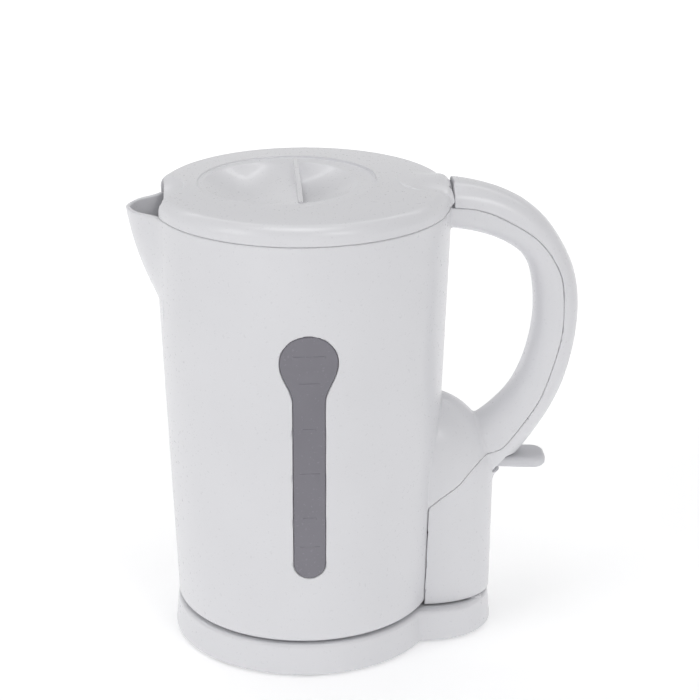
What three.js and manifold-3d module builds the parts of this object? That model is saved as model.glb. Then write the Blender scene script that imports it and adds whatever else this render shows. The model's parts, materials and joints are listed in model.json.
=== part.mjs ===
// Cordless electric jug kettle, seated on its power base.
// Millimetres, +Z up. +X runs along the handle, -X along the spout, and -Y is the side with the water window.
// The origin is the middle of the footprint, on the surface that the feet stand on.
import * as THREE from "three";
import { mergeVertices } from "three/addons/utils/BufferGeometryUtils.js";
import Module from "manifold-3d";

const wasm = await Module();
wasm.setup();

// ---- driving dimensions ----
const FACETS = 48; // sides of the large round shapes
const GAP = 0.3; // clearance between neighbouring pieces
const SCREW_SIDES = 8;

// Where the jug stands: its axis in X, and its underside above the table.
const SPOUT_TIP = 88.5; // from the jug's axis to the end of the lip
const HANDLE_BACK = 140.35; // from the jug's axis to the handle's back
const AXIS_X = (SPOUT_TIP - HANDLE_BACK) / 2;
const FOOT_PROUD = 1.5;
const BASE_DEPTH = 16;
const BASE_TOP = FOOT_PROUD + BASE_DEPTH;
const PAD_HEIGHT = 0.8;
const JUG_Z = BASE_TOP + PAD_HEIGHT + GAP;

// Power base.
const BASE_R = 67.1; // at the top edge
const BASE_DRAFT = 1.5; // growth of the outline down to its lower edge
const BASE_WALL = 2.2;
const LOBE_X = 60; // centre of the lobe that carries the connector
const LOBE_LENGTH = 37;
const LOBE_HALF = 34;
const LOBE_POWER = 2.2;
const BOTTOM_PLATE = 2;
const FOOT_R = 4.5;
const FOOT_CIRCLE = 61;
const PEG = { x: -55.5, y: -6.5, half: 3.75, height: 9 };
const RECESS = { x0: 28, x1: 47.5, half: 17, depth: 0.7 };
const PLINTH = { x0: 48, x1: 91, half: 19, height: 0.7 };
const PADS = [43, -43, 90, -90, 143, -143].map((deg) => [56, deg]).concat([[12, 3]]);
const FEET = [
  [FOOT_CIRCLE, 90],
  [FOOT_CIRCLE, -90],
  [FOOT_CIRCLE, 130],
  [FOOT_CIRCLE, -130],
  [82, 13],
  [82, -13],
];
const BASE_SCREWS = [
  [50, 150],
  [50, -150],
  [40, 0],
];

// Connector tower on the base: its heights are above the base's top face.
const TOWER = { x0: 59, x1: 89, xTop: 87, half: 16, step: 23.5, stepX: 65.8, top: 48.5, round: 9 };
const TOWER_BEVEL = 1.2;
const SLOT_PITCH = 7.4;
const SLOT = { half: 1.5, x1: 82.5, floor: 26 };
const POLES = { live: -SLOT_PITCH, neutral: SLOT_PITCH, earth: 0 };

// Cord outlet, in the wall of the base on the side away from the window.
const GLAND = { r: 4.8, flange: 5.4, hole: 3.3, z: 9.5, in: 60, out: 69 };
const CLAMP = { y0: 47, y1: 53, z0: 5.2, z1: 7.7, half: 11, screwX: 8 };

// Jug: heights are above its own underside.
const JUG_R0 = 66.7; // at the bottom
const JUG_R1 = 75; // at the rim
const SEAM = 212;
const JUG_WALL = 2.5;
const JUG_ROUND = 3.5;
const FLOOR = 2.6;
const REAR_WALL = 54.3; // water side of the flat wall that carries the element
const DRY_SIDE = REAR_WALL + JUG_WALL;
const SHELF = 110.5; // the chamber is a full circle above this height

// Spout: the ridge falls back to the wall along a slight curve.
const SPOUT_FOOT = 150;
const SPOUT_SLOPE = 0.235;
const SPOUT_CURVE = 0.0013;
const SPOUT_HALF = 28;
const SPOUT_NOSE = 8.5; // half width of the blunt nose at the rim
const SPOUT_NOSE_DEPTH = 2.5;
const FILTER = { x: -68.5, t: 1.6, top: 202.4, bottom: 170, halfTop: 19, halfBottom: 12 };

// Rear housing and its shoulder, over the control and the connector.
const HOUSING_X = 60;
const HOUSING = { long0: 37.9, long1: 38.8, half0: 27.6, half1: 30.4, straight: 66, wideTo: 80, top: 110, tall: 112 };
const HOUSING_POWER = 2.2;
const SHOULDER_POWER = 4;
const HOUSING_WALL = 2.2;

// Handle: matching points of its back and of its finger side, in the X-Z plane through the axis.
const HANDLE_BACK_LINE = [
  [66, 224.2],
  [78, 223.2],
  [90, 220.9],
  [102, 216.8],
  [113.5, 210.4],
  [124, 200.8],
  [132.4, 188],
  [137.8, 175.5],
  [140.4, 162],
  [140.4, 147],
  [138.2, 131.5],
  [134, 115.5],
  [127.5, 100.8],
  [118.5, 86.3],
  [108.5, 73.2],
  [99, 62.5],
];
const HANDLE_FINGER_LINE = [
  [66, 200],
  [78, 198.4],
  [88, 196.3],
  [97, 193.2],
  [104.6, 189.3],
  [110.6, 184.4],
  [114.6, 177.3],
  [116.8, 168.5],
  [117.8, 158.5],
  [117.6, 147.5],
  [115.8, 136],
  [112, 123],
  [105.8, 111],
  [96.5, 101],
  [86, 93],
  [76, 84],
];
const HANDLE_HALF = 13.5;
const HANDLE_ROOT_HALF = 15;
const HANDLE_POWER = 2.5;
const HANDLE_WALL = 2.2;
// Parting line between the jug's moulding and the handle cover.
const PARTING = [
  [54, 49.5],
  [62.6, 55.9],
  [70, 61.8],
  [78.4, 67.5],
  [84, 73],
  [90.6, 77.6],
  [97, 79.3],
  [103.5, 82.8],
  [114.9, 98],
  [122.3, 111.1],
  [128.5, 130.2],
  [131.6, 145.2],
  [131.8, 162.1],
  [129.9, 174.8],
  [123.8, 186.7],
  [116, 195.5],
  [104.5, 203],
  [94.9, 207.8],
  [84.5, 210.9],
  [70, 212.6],
];

// Water window, in the X-Z plane: a strip with a round head.
const WINDOW = { half: 7.9, bottom: 44.8, head: 14, headZ: 152.5, neck: 129, join: -40, t: 2.2 };

// Lid.
const LID_BOTTOM = SEAM + GAP;
const LID_TOP = 221;
const LID_WALL = 2.2;
const HINGE = { x: 69.5, z: 218.8, knuckle: 5.2, pin: 1.5, half: 16 };
const LUG = { y0: 6, y1: 10, r: 3.4 };
const GRIP_RING = { x: -7.6, r: 44.8, depth: 1 };
const GRIP_BOWL = { x: -11, r: 39.5, depth: 10 };
const GRIP_WALL = { x0: -5.4, x1: -1.8, top: 219.8 };
const SCOOP = { x: -75, z: 224, rx: 15.8, ry: 23, rz: 11 };
const LID_NOTCH = { x: -69.6, half: 23 };
const LINER = { r: 70.3, bottom: 203, rim: 218.3 };

// Element, control and switch.
const ELEMENT_Z = 46;
const ELEMENT_TUBE = 3.3;
const FLANGE = { r: 21, x0: 50.9, x1: 52.6, boss: 14.5, bossX: 57.6 };
const PORT_R = 15.5;
const CONTROL = { x0: DRY_SIDE + 1, x1: 65.2, r: 20, boxX: 77, boxHalf: 14, boxZ0: 57, boxZ1: 88 };
const CONTROL_SCREWS = { circle: 11, angles: [90, 210, 330] };
const BLADE = { x1: 79, z0: 31, z1: 43, half: 0.5 };
const PIVOT = { x: 90, z: 72.5, r: 1.25, half: 14.5 };
const PADDLE = { x1: 126, half: 10, drop: 1.2 };
const COVER_SCREW = { y: 22, z: 12, bossX: 66 };

// ---- materials ----
const plastic = (color, roughness) => new THREE.MeshStandardMaterial({ color, roughness, metalness: 0 });
const metal = (color, roughness) => new THREE.MeshStandardMaterial({ color, roughness, metalness: 1 });
const MATERIALS = {
  white: plastic(0xf2f2f4, 0.32),
  window: plastic(0x88878f, 0.2),
  lever: plastic(0xe2e2e5, 0.35),
  control: plastic(0x2a2a2c, 0.5),
  filter: plastic(0xdedee0, 0.4),
  rubber: plastic(0x3a3a3c, 0.85),
  silicone: plastic(0xb9573f, 0.7),
  brass: metal(0xc6a055, 0.35),
  steel: metal(0xb9bbbe, 0.3),
  element: metal(0xc9cacc, 0.22),
};

// ---- geometry helpers ----
const radians = THREE.MathUtils.degToRad;
const mix = THREE.MathUtils.lerp;

// A closed three.js geometry as a solid, with its faces pointing out.
function toSolid(geometry) {
  const bare = geometry.clone();
  bare.deleteAttribute("normal");
  bare.deleteAttribute("uv");
  const merged = mergeVertices(bare, 1e-4);
  const make = (triVerts) =>
    new wasm.Manifold(
      new wasm.Mesh({ numProp: 3, vertProperties: merged.attributes.position.array, triVerts }),
    );
  const triVerts = new Uint32Array(merged.index.array);
  const solid = make(triVerts);
  if (solid.volume() > 0) {
    return solid;
  }
  return make(triVerts.reverse());
}

function toGeometry(solid) {
  const mesh = solid.getMesh();
  const geometry = new THREE.BufferGeometry();
  geometry.setAttribute("position", new THREE.BufferAttribute(mesh.vertProperties.slice(), 3));
  geometry.setIndex(new THREE.BufferAttribute(mesh.triVerts.slice(), 1));
  geometry.computeVertexNormals();
  return geometry;
}

function block([x0, x1], [y0, y1], [z0, z1]) {
  const geometry = new THREE.BoxGeometry(x1 - x0, y1 - y0, z1 - z0);
  geometry.translate((x0 + x1) / 2, (y0 + y1) / 2, (z0 + z1) / 2);
  return toSolid(geometry);
}

// A round bar between two points.
function rod(from, to, radius, sides = SCREW_SIDES) {
  const start = new THREE.Vector3(...from);
  const end = new THREE.Vector3(...to);
  const along = end.clone().sub(start);
  const geometry = new THREE.CylinderGeometry(radius, radius, along.length(), sides);
  const turn = new THREE.Quaternion().setFromUnitVectors(new THREE.Vector3(0, 1, 0), along.normalize());
  geometry.applyQuaternion(turn);
  geometry.translate((from[0] + to[0]) / 2, (from[1] + to[1]) / 2, (from[2] + to[2]) / 2);
  return toSolid(geometry);
}

// A profile of [radius, height] points turned about the Z axis.
function lathe(profile, x = 0, y = 0, sides = FACETS) {
  const points = profile.map(([radius, height]) => new THREE.Vector2(radius, height));
  const geometry = new THREE.LatheGeometry(points, sides);
  geometry.rotateX(Math.PI / 2);
  geometry.translate(x, y, 0);
  return toSolid(geometry);
}

// The same, about a line along X through (0, 0, height).
function latheAlongX(profile, height, sides = 32) {
  const points = profile.map(([radius, x]) => new THREE.Vector2(radius, x));
  const geometry = new THREE.LatheGeometry(points, sides);
  geometry.rotateZ(-Math.PI / 2);
  geometry.translate(0, 0, height);
  return toSolid(geometry);
}

function shapeOf(points) {
  return new THREE.Shape(points.map(([a, b]) => new THREE.Vector2(a, b)));
}

// A shape drawn in X and Z, extruded along Y.
function prismAlongY(shape, y0, y1, bevel = 0) {
  const geometry = new THREE.ExtrudeGeometry(shape, {
    depth: y1 - y0 - 2 * bevel,
    bevelEnabled: bevel > 0,
    bevelSize: bevel,
    bevelThickness: bevel,
    bevelOffset: -bevel,
    bevelSegments: 2,
    curveSegments: 8,
  });
  const basis = new THREE.Matrix4().makeBasis(
    new THREE.Vector3(1, 0, 0),
    new THREE.Vector3(0, 0, 1),
    new THREE.Vector3(0, -1, 0),
  );
  geometry.applyMatrix4(basis);
  geometry.translate(0, y1 - bevel, 0);
  return toSolid(geometry);
}

// A shape drawn in Y and Z, extruded along X.
function prismAlongX(shape, x0, x1) {
  const geometry = new THREE.ExtrudeGeometry(shape, { depth: x1 - x0, bevelEnabled: false });
  const basis = new THREE.Matrix4().makeBasis(
    new THREE.Vector3(0, 1, 0),
    new THREE.Vector3(0, 0, 1),
    new THREE.Vector3(1, 0, 0),
  );
  geometry.applyMatrix4(basis);
  geometry.translate(x0, 0, 0);
  return toSolid(geometry);
}

// A closed skin over rings of points, each ring with as many points as the others and flat caps on the ends.
function loft(rings) {
  const count = rings[0].length;
  const positions = [];
  rings.forEach((ring) => ring.forEach((point) => positions.push(...point)));
  [rings[0], rings[rings.length - 1]].forEach((ring) => {
    const middle = [0, 1, 2].map((axis) => ring.reduce((sum, point) => sum + point[axis], 0) / count);
    positions.push(...middle);
  });
  const firstCap = rings.length * count;
  const lastRing = firstCap - count;
  const index = [];
  for (let i = 0; i < count; i += 1) {
    const next = (i + 1) % count;
    for (let row = 0; row < rings.length - 1; row += 1) {
      const a = row * count + i;
      const b = row * count + next;
      index.push(a, b, b + count, a, b + count, a + count);
    }
    index.push(firstCap, next, i, firstCap + 1, lastRing + i, lastRing + next);
  }
  const geometry = new THREE.BufferGeometry();
  geometry.setAttribute("position", new THREE.Float32BufferAttribute(positions, 3));
  geometry.setIndex(index);
  return toSolid(geometry);
}

function superellipse(angle, a, b, power) {
  const raise = (value) => Math.sign(value) * Math.abs(value) ** (2 / power);
  return [a * raise(Math.cos(angle)), b * raise(Math.sin(angle))];
}

function polar([radius, degrees]) {
  return [radius * Math.cos(radians(degrees)), radius * Math.sin(radians(degrees))];
}

const joined = (solids) => solids.reduce((sum, solid) => sum.add(solid));

// ---- power base ----

// The base's outline, grown by an offset: most of a circle, and the lobe that carries the tower.
function baseRing(offset, z) {
  const radius = BASE_R + offset;
  const half = LOBE_HALF + offset;
  const corner = Math.asin(half / radius);
  const ring = [];
  const round = 36;
  for (let i = 0; i <= round; i += 1) {
    const angle = mix(corner, 2 * Math.PI - corner, i / round);
    ring.push([radius * Math.cos(angle), radius * Math.sin(angle), z]);
  }
  const steps = 14;
  for (let i = 0; i <= steps; i += 1) {
    const angle = mix(-Math.PI / 2, Math.PI / 2, i / steps);
    const [x, y] = superellipse(angle, LOBE_LENGTH + offset, half, LOBE_POWER);
    ring.push([LOBE_X + x, y, z]);
  }
  return ring;
}

function baseTop() {
  const outer = loft([
    baseRing(BASE_DRAFT, FOOT_PROUD),
    baseRing(0.1, BASE_TOP - 1.8),
    baseRing(-0.4, BASE_TOP - 0.7),
    baseRing(-1.6, BASE_TOP),
  ]);
  const inside = loft([
    baseRing(BASE_DRAFT - BASE_WALL, FOOT_PROUD - 1),
    baseRing(-BASE_WALL, BASE_TOP - BASE_WALL),
  ]);
  const pads = PADS.map((place) => padOn(...polar(place)));
  const bosses = BASE_SCREWS.map((place) => screwBoss(...polar(place), 4, FOOT_PROUD + BOTTOM_PLATE + GAP));
  const clampBosses = [-1, 1].map((side) =>
    screwBoss(side * CLAMP.screwX, (CLAMP.y0 + CLAMP.y1) / 2, 2.6, CLAMP.z1 + GAP),
  );
  const plinth = block(
    [PLINTH.x0, PLINTH.x1],
    [-PLINTH.half, PLINTH.half],
    [BASE_TOP - 1, BASE_TOP + PLINTH.height],
  );
  return outer
    .subtract(inside)
    .add(plinth)
    .add(joined([...pads, ...bosses, ...clampBosses, peg()]))
    .subtract(recess())
    .subtract(towerHole())
    .subtract(rod([0, GLAND.in, GLAND.z], [0, GLAND.out + 2, GLAND.z], GLAND.r + GAP, 24));
}

function padOn(x, y) {
  const top = BASE_TOP + PAD_HEIGHT;
  return lathe([[0, BASE_TOP - 1], [5.5, BASE_TOP - 1], [5.5, top - 0.3], [5, top], [0, top]], x, y, 14);
}

// A boss under the top face with a pilot hole for a screw, whose lower end is at the given height.
function screwBoss(x, y, radius, end) {
  const top = BASE_TOP - BASE_WALL / 2;
  const hole = rod([x, y, end - 1], [x, y, end + 8.5], 1.2 + GAP);
  return rod([x, y, end], [x, y, top], radius, 16).subtract(hole);
}

// The peg that finds the pocket in the jug's floor.
function peg() {
  const ring = (half, z) =>
    Array.from({ length: 16 }, (_, i) => {
      const [x, y] = superellipse((i * Math.PI) / 8, half, half, 4);
      return [PEG.x + x, PEG.y + y, z];
    });
  const top = BASE_TOP + PEG.height;
  return loft([
    ring(PEG.half, BASE_TOP - 1),
    ring(PEG.half * 0.96, top - 2.4),
    ring(PEG.half * 0.84, top - 0.8),
    ring(PEG.half * 0.55, top),
  ]);
}

// A shallow rectangle in the top face, with a second one inside it.
function recess() {
  const above = BASE_TOP + 1;
  const wide = block([RECESS.x0, RECESS.x1], [-RECESS.half, RECESS.half], [BASE_TOP - RECESS.depth, above]);
  const narrow = block(
    [RECESS.x0 + 3.5, RECESS.x0 + 9],
    [-RECESS.half + 5.5, RECESS.half - 5.5],
    [BASE_TOP - 2 * RECESS.depth, above],
  );
  return wide.add(narrow);
}

function towerHole() {
  const side = TOWER.half + GAP;
  return block([TOWER.x0 - GAP, TOWER.x1 + GAP], [-side, side], [BASE_TOP - 5, BASE_TOP + 5]);
}

// The tower's outline from the side: a low step in front, and a rounded front top corner.
function towerOutline() {
  const shape = new THREE.Shape();
  const foot = BASE_TOP - 6;
  const top = BASE_TOP + TOWER.top;
  const step = BASE_TOP + TOWER.step;
  shape.moveTo(TOWER.x0, foot);
  shape.lineTo(TOWER.x1, foot);
  shape.lineTo(TOWER.xTop, top - 1.5);
  shape.lineTo(TOWER.xTop - 1.5, top);
  shape.lineTo(TOWER.stepX + TOWER.round, top);
  shape.absarc(TOWER.stepX + TOWER.round, top - TOWER.round, TOWER.round, Math.PI / 2, Math.PI, false);
  shape.lineTo(TOWER.stepX, step);
  shape.lineTo(TOWER.x0 + 1, step);
  shape.lineTo(TOWER.x0, step - 1);
  return shape;
}

function connectorTower() {
  const body = prismAlongY(towerOutline(), -TOWER.half, TOWER.half, TOWER_BEVEL);
  const ledge = block([TOWER.x0 - 2.5, 86], [-TOWER.half - 3, TOWER.half + 3], [BASE_TOP - 6, BASE_TOP - 2.5]);
  const hollow = block([TOWER.x0 + 2.5, TOWER.x1 - 4], [-13.5, 13.5], [BASE_TOP - 7, BASE_TOP + 18]);
  return body.add(ledge).subtract(hollow).subtract(joined(Object.values(POLES).map(towerSlot)));
}

// A slot for one blade, open at the front and the top, and the passage for the contact's stem below it.
function towerSlot(y) {
  const slot = block(
    [TOWER.stepX - 2, SLOT.x1],
    [y - SLOT.half, y + SLOT.half],
    [BASE_TOP + SLOT.floor, BASE_TOP + TOWER.top + 1],
  );
  const passage = block([71, 77], [y - 0.8, y + 0.8], [BASE_TOP + 16, BASE_TOP + SLOT.floor + 1]);
  return slot.add(passage);
}

// A forked spring contact: two leaves, a bridge under them, and a stem down to the terminal block.
function contact(y) {
  const inner = BLADE.half + GAP;
  const outer = inner + 0.35;
  const bridge = BASE_TOP + SLOT.floor + 2;
  const leaf = (side) => {
    const [near, far] = side > 0 ? [inner, outer] : [-outer, -inner];
    return block([69, 79], [y + near, y + far], [bridge, bridge + 12]);
  };
  return leaf(1)
    .add(leaf(-1))
    .add(block([69, 79], [y - outer, y + outer], [bridge - 0.6, bridge]))
    .add(block([72, 76], [y - 0.4, y + 0.4], [BASE_TOP + 12.4, bridge - 0.3]));
}

function terminalBlock() {
  const body = block([64, 84], [-12.5, 12.5], [FOOT_PROUD + BOTTOM_PLATE + GAP, BASE_TOP + 12]);
  const wireWays = Object.values(POLES).map((y) => rod([60, y, BASE_TOP - 4], [70, y, BASE_TOP - 4], 2));
  return body.subtract(joined(wireWays));
}

function baseBottom() {
  const edge = BASE_DRAFT - BASE_WALL - 2 * GAP;
  const plate = loft([baseRing(edge, FOOT_PROUD), baseRing(edge, FOOT_PROUD + BOTTOM_PLATE)]);
  const feet = FEET.map((place) => {
    const [x, y] = polar(place);
    return rod([x, y, 0], [x, y, FOOT_PROUD + 1.1], FOOT_R + GAP, 14);
  });
  const screws = BASE_SCREWS.map((place) => {
    const [x, y] = polar(place);
    const through = rod([x, y, 0], [x, y, 6], 1.2 + GAP);
    return through.add(rod([x, y, 0], [x, y, FOOT_PROUD + 1.2], 2.8 + GAP, 12));
  });
  return plate.subtract(joined([...feet, ...screws]));
}

function foot(place) {
  const [x, y] = polar(place);
  return lathe([[0, 0], [FOOT_R - 0.5, 0], [FOOT_R, 0.5], [FOOT_R, 2.3], [0, 2.3]], x, y, 14);
}

// A screw that points up: its head's underside is at the given height.
function upwardScrew(x, y, seat, length, head = 2.8) {
  return rod([x, y, seat], [x, y, seat + length], 1.2).add(rod([x, y, seat - 1], [x, y, seat], head, 12));
}

function cordGland() {
  const sleeve = rod([0, GLAND.in, GLAND.z], [0, GLAND.out, GLAND.z], GLAND.r, 24);
  const flange = rod([0, GLAND.in, GLAND.z], [0, GLAND.in + 3, GLAND.z], GLAND.flange, 24);
  const hole = rod([0, GLAND.in - 1, GLAND.z], [0, GLAND.out + 1, GLAND.z], GLAND.hole, 24);
  return sleeve.add(flange).subtract(hole);
}

// A bar with an arch in its upper face, which holds the cord against two bosses.
function cordClamp() {
  const bar = block([-CLAMP.half, CLAMP.half], [CLAMP.y0, CLAMP.y1], [CLAMP.z0, CLAMP.z1]);
  const middle = (CLAMP.y0 + CLAMP.y1) / 2;
  const arch = rod([0, CLAMP.y0 - 1, CLAMP.z1 + 1.5], [0, CLAMP.y1 + 1, CLAMP.z1 + 1.5], 3, 16);
  const holes = [-1, 1].map((side) =>
    rod([side * CLAMP.screwX, middle, 0], [side * CLAMP.screwX, middle, 12], 1.2 + GAP),
  );
  return bar.subtract(joined([arch, ...holes]));
}

// ---- jug ----

const jugRadius = (z) => mix(JUG_R0, JUG_R1, z / SEAM);

// The jug's outside, grown by an offset.
function jugOutside(offset) {
  return lathe([
    [0, -offset],
    [JUG_R0 - JUG_ROUND + offset, -offset],
    [jugRadius(1) - 1 + offset, 1],
    [jugRadius(JUG_ROUND) + offset, JUG_ROUND],
    [JUG_R1 + offset, SEAM + offset],
    [0, SEAM + offset],
  ]);
}

// The water space: round, with a flat rear wall up to the shelf.
function chamber() {
  const round = lathe([
    [0, FLOOR],
    [jugRadius(FLOOR) - JUG_WALL - 3, FLOOR],
    [jugRadius(FLOOR) - JUG_WALL, FLOOR + 3],
    [JUG_R1 - JUG_WALL, SEAM + 5],
    [0, SEAM + 5],
  ]);
  return round.subtract(block([REAR_WALL, 90], [-60, 60], [-5, SHELF])).subtract(pegBoss());
}

function pegBoss() {
  return rod([PEG.x, PEG.y, 0], [PEG.x, PEG.y, 11], 7.6, 20);
}

function pegPocket() {
  return rod([PEG.x, PEG.y, -1], [PEG.x, PEG.y, 8.7], 5.6, 20);
}

// The spout's ridge and half width, a distance below the rim.
const spoutRidge = (below) => SPOUT_TIP - SPOUT_SLOPE * below - SPOUT_CURVE * below * below;
const spoutHalf = (below) => SPOUT_HALF - 0.14 * below - 0.0016 * below * below;

// One level section of the spout: from inside the jug, out along one side, round the nose and back.
function spoutRing(z, inset) {
  const below = SEAM - z;
  const tip = spoutRidge(below) - inset * 1.15;
  const half = spoutHalf(below) - inset;
  const nose = Math.max(SPOUT_NOSE - 0.09 * below, 3.5) - inset * 0.7;
  const wallX = -Math.sqrt((jugRadius(z) - inset) ** 2 - half ** 2);
  const bow = 2.8 * (1 - below / (SEAM - SPOUT_FOOT));
  const side = [0.25, 0.5, 0.75, 1].map((t) => {
    const x = mix(wallX, -tip + SPOUT_NOSE_DEPTH, t);
    const y = mix(half, nose, t) - bow * Math.sin(Math.PI * t);
    return [x, y, z];
  });
  const near = [[-58, half, z], [wallX, half, z], ...side, [-tip + 0.8, nose * 0.55, z]];
  const far = near.map(([x, y]) => [x, -y, z]).reverse();
  return [...near, [-tip, 0, z], ...far];
}

function spout(inset, top) {
  const levels = [SPOUT_FOOT, 160, 172, 185, 198, 206].concat([top]);
  return loft(levels.map((z) => spoutRing(z, inset)));
}

// The rear housing at a height, as a half superellipse behind the jug's axis.
function housingRing(z, inset) {
  const rise = Math.min(Math.max(z, 0) / HOUSING.straight, 1);
  const top = HOUSING.top - inset;
  const tall = HOUSING.tall - inset;
  const shrink = Math.max(z - HOUSING.straight, 0) / (top - HOUSING.straight);
  const pinch = Math.max(z - HOUSING.wideTo, 0) / (tall - HOUSING.wideTo);
  const straight = mix(HOUSING.long0, HOUSING.long1, rise) - inset;
  const long = straight * Math.sqrt(Math.max(1 - shrink ** 2, 0.001));
  const half = (mix(HOUSING.half0, HOUSING.half1, rise) - inset) * (1 - pinch ** SHOULDER_POWER) ** 0.25;
  const front = inset > 0 ? DRY_SIDE : REAR_WALL + 1;
  const steps = 14;
  const arc = Array.from({ length: steps + 1 }, (_, i) => {
    const angle = mix(-Math.PI / 2, Math.PI / 2, i / steps);
    const [x, y] = superellipse(angle, long, half, HOUSING_POWER);
    return [HOUSING_X + x, y, z];
  });
  return [[front, -half, z], ...arc, [front, half, z]];
}

function housing(inset) {
  const low = inset > 0 ? -2 : 0;
  const levels = [low, 30, 66, 76, 84, 91, 97, 102, 106, 108.6].map((z) => z - (z > 66 ? inset : 0));
  return loft([...levels.map((z) => housingRing(z, inset)), housingRing(HOUSING.top - inset - 0.05, inset)]);
}

// One section across the handle, between a point of its back and the matching point of its finger side.
function handleRing(back, finger, half, inset) {
  const [bx, bz] = back;
  const [fx, fz] = finger;
  const length = Math.hypot(bx - fx, bz - fz);
  const [dx, dz] = [(bx - fx) / length, (bz - fz) / length];
  return Array.from({ length: 12 }, (_, i) => {
    const [a, b] = superellipse((i * Math.PI) / 6, length / 2 - inset, half - inset, HANDLE_POWER);
    return [(bx + fx) / 2 + a * dx, b, (bz + fz) / 2 + a * dz];
  });
}

// The handle's loop. The hollow inside it starts a wall's thickness behind the jug.
function handle(inset) {
  const last = HANDLE_BACK_LINE.length - 1;
  const rings = HANDLE_BACK_LINE.map((back, i) => {
    const toEnd = Math.abs(i / last - 0.5) * 2;
    const half = mix(HANDLE_HALF, HANDLE_ROOT_HALF, toEnd ** 3);
    return handleRing(back, HANDLE_FINGER_LINE[i], half, inset);
  });
  if (inset === 0) {
    return loft(rings);
  }
  rings[1] = handleRing([79, 223.1], [79, 198.3], HANDLE_ROOT_HALF - 0.5, inset);
  return loft(rings.slice(1));
}

// The side view of everything behind and below the parting line, moved back from it by a clearance.
function coverSide(clearance) {
  const line = PARTING.map(([x, z], i) => {
    const [ax, az] = PARTING[Math.max(i - 1, 0)];
    const [bx, bz] = PARTING[Math.min(i + 1, PARTING.length - 1)];
    const length = Math.hypot(bx - ax, bz - az);
    return [x + (clearance * (bz - az)) / length, z - (clearance * (bx - ax)) / length];
  });
  const [topX, topZ] = [line[line.length - 1][0], 240];
  return prismAlongY(shapeOf([...line, [topX, topZ], [160, topZ], [160, -10], [54, -10]]), -40, 40);
}

// The lid's space above the rim, which the handle's root keeps clear of.
function lidSpace() {
  const round = lathe([[0, SEAM], [JUG_R1 + 0.8, SEAM], [JUG_R1 + 0.8, 240], [0, 240]]);
  return round.add(block([40, HINGE.x + HINGE.knuckle + 1.3], [-30, 30], [SEAM, 240]));
}

// The shell of the housing and the handle together, before it is parted.
const rearShell = housing(0)
  .add(handle(0))
  .subtract(housing(HOUSING_WALL).add(handle(HANDLE_WALL)))
  .subtract(lidSpace());

function hingeLugs() {
  const lug = (y0, y1) =>
    rod([HINGE.x, y0, HINGE.z], [HINGE.x, y1, HINGE.z], LUG.r, 20).add(
      block([HINGE.x - LUG.r, HINGE.x + LUG.r], [y0, y1], [204, HINGE.z]),
    );
  const low = block([60, 80], [-20, 20], [200, SEAM]).intersect(jugOutside(0));
  const plates = lug(LUG.y0, LUG.y1).add(lug(-LUG.y1, -LUG.y0));
  const above = plates.subtract(block([60, 80], [-20, 20], [200, SEAM]));
  const pinHole = rod([HINGE.x, -20, HINGE.z], [HINGE.x, 20, HINGE.z], HINGE.pin + 0.1, 20);
  return plates.intersect(low).add(above).subtract(pinHole);
}

// Bosses on the dry side of the rear wall, for the screws that hold the handle cover.
function coverBosses() {
  const boss = (side) => {
    const y = side * COVER_SCREW.y;
    const bar = rod([REAR_WALL + 1, y, COVER_SCREW.z], [COVER_SCREW.bossX, y, COVER_SCREW.z], 3.4, 16);
    const hole = rod([DRY_SIDE + 1, y, COVER_SCREW.z], [80, y, COVER_SCREW.z], 1.2 + GAP);
    return bar.subtract(hole);
  };
  return boss(1).add(boss(-1));
}

function windowShape(grow) {
  const shape = new THREE.Shape();
  const half = WINDOW.half + grow;
  const head = WINDOW.head + grow;
  const join = radians(WINDOW.join);
  const [joinX, joinZ] = [head * Math.cos(join), WINDOW.headZ + head * Math.sin(join)];
  shape.moveTo(half, WINDOW.bottom);
  shape.lineTo(half, WINDOW.neck);
  shape.quadraticCurveTo(half, WINDOW.neck + 9, joinX, joinZ);
  shape.absarc(0, WINDOW.headZ, head, join, Math.PI - join, false);
  shape.quadraticCurveTo(-half, WINDOW.neck + 9, -half, WINDOW.neck);
  shape.lineTo(-half, WINDOW.bottom);
  shape.absarc(0, WINDOW.bottom, half, Math.PI, 2 * Math.PI, false);
  return shape;
}

function waterWindow() {
  const inner = lathe([
    [0, 0],
    [jugRadius(0) - WINDOW.t, 0],
    [JUG_R1 - WINDOW.t, SEAM],
    [0, SEAM],
  ]);
  return prismAlongY(windowShape(0), -90, -40).intersect(jugOutside(0)).subtract(inner);
}

function jugBody() {
  const rear = rearShell.subtract(coverSide(0));
  const steamHole = rod([66, 0, 205.5], [81, 0, 205.5], 2.6, 16);
  const port = rod([REAR_WALL - 2, 0, ELEMENT_Z], [DRY_SIDE + 2, 0, ELEMENT_Z], PORT_R, 32);
  return jugOutside(0)
    .add(spout(0, SEAM))
    .add(rear)
    .subtract(chamber())
    .subtract(spout(JUG_WALL, SEAM + 2).intersect(block([-100, -50], [-40, 40], [166, 220])))
    .subtract(housing(HOUSING_WALL))
    .add(coverBosses())
    .add(hingeLugs())
    .subtract(pegPocket())
    .subtract(steamHole)
    .subtract(port)
    .subtract(prismAlongY(windowShape(GAP), -90, -40));
}

function handleCover() {
  const slot = block([96, 130], [-PADDLE.half - 0.8, PADDLE.half + 0.8], [66, 76.6]);
  const rib = (side) => {
    const [y0, y1] = side > 0 ? [11.6, 13.6] : [-13.6, -11.6];
    return block([85, 100], [y0, y1], [61, 76]);
  };
  const ribs = rib(1).add(rib(-1)).intersect(housing(0).add(handle(0)));
  const pinHole = rod([PIVOT.x, -14.8, PIVOT.z], [PIVOT.x, 14.8, PIVOT.z], PIVOT.r + 0.1, 16);
  return rearShell
    .intersect(coverSide(GAP))
    .add(ribs.intersect(coverSide(GAP)))
    .add(coverTabs())
    .subtract(jugOutside(GAP))
    .subtract(slot)
    .subtract(pinHole);
}

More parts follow.
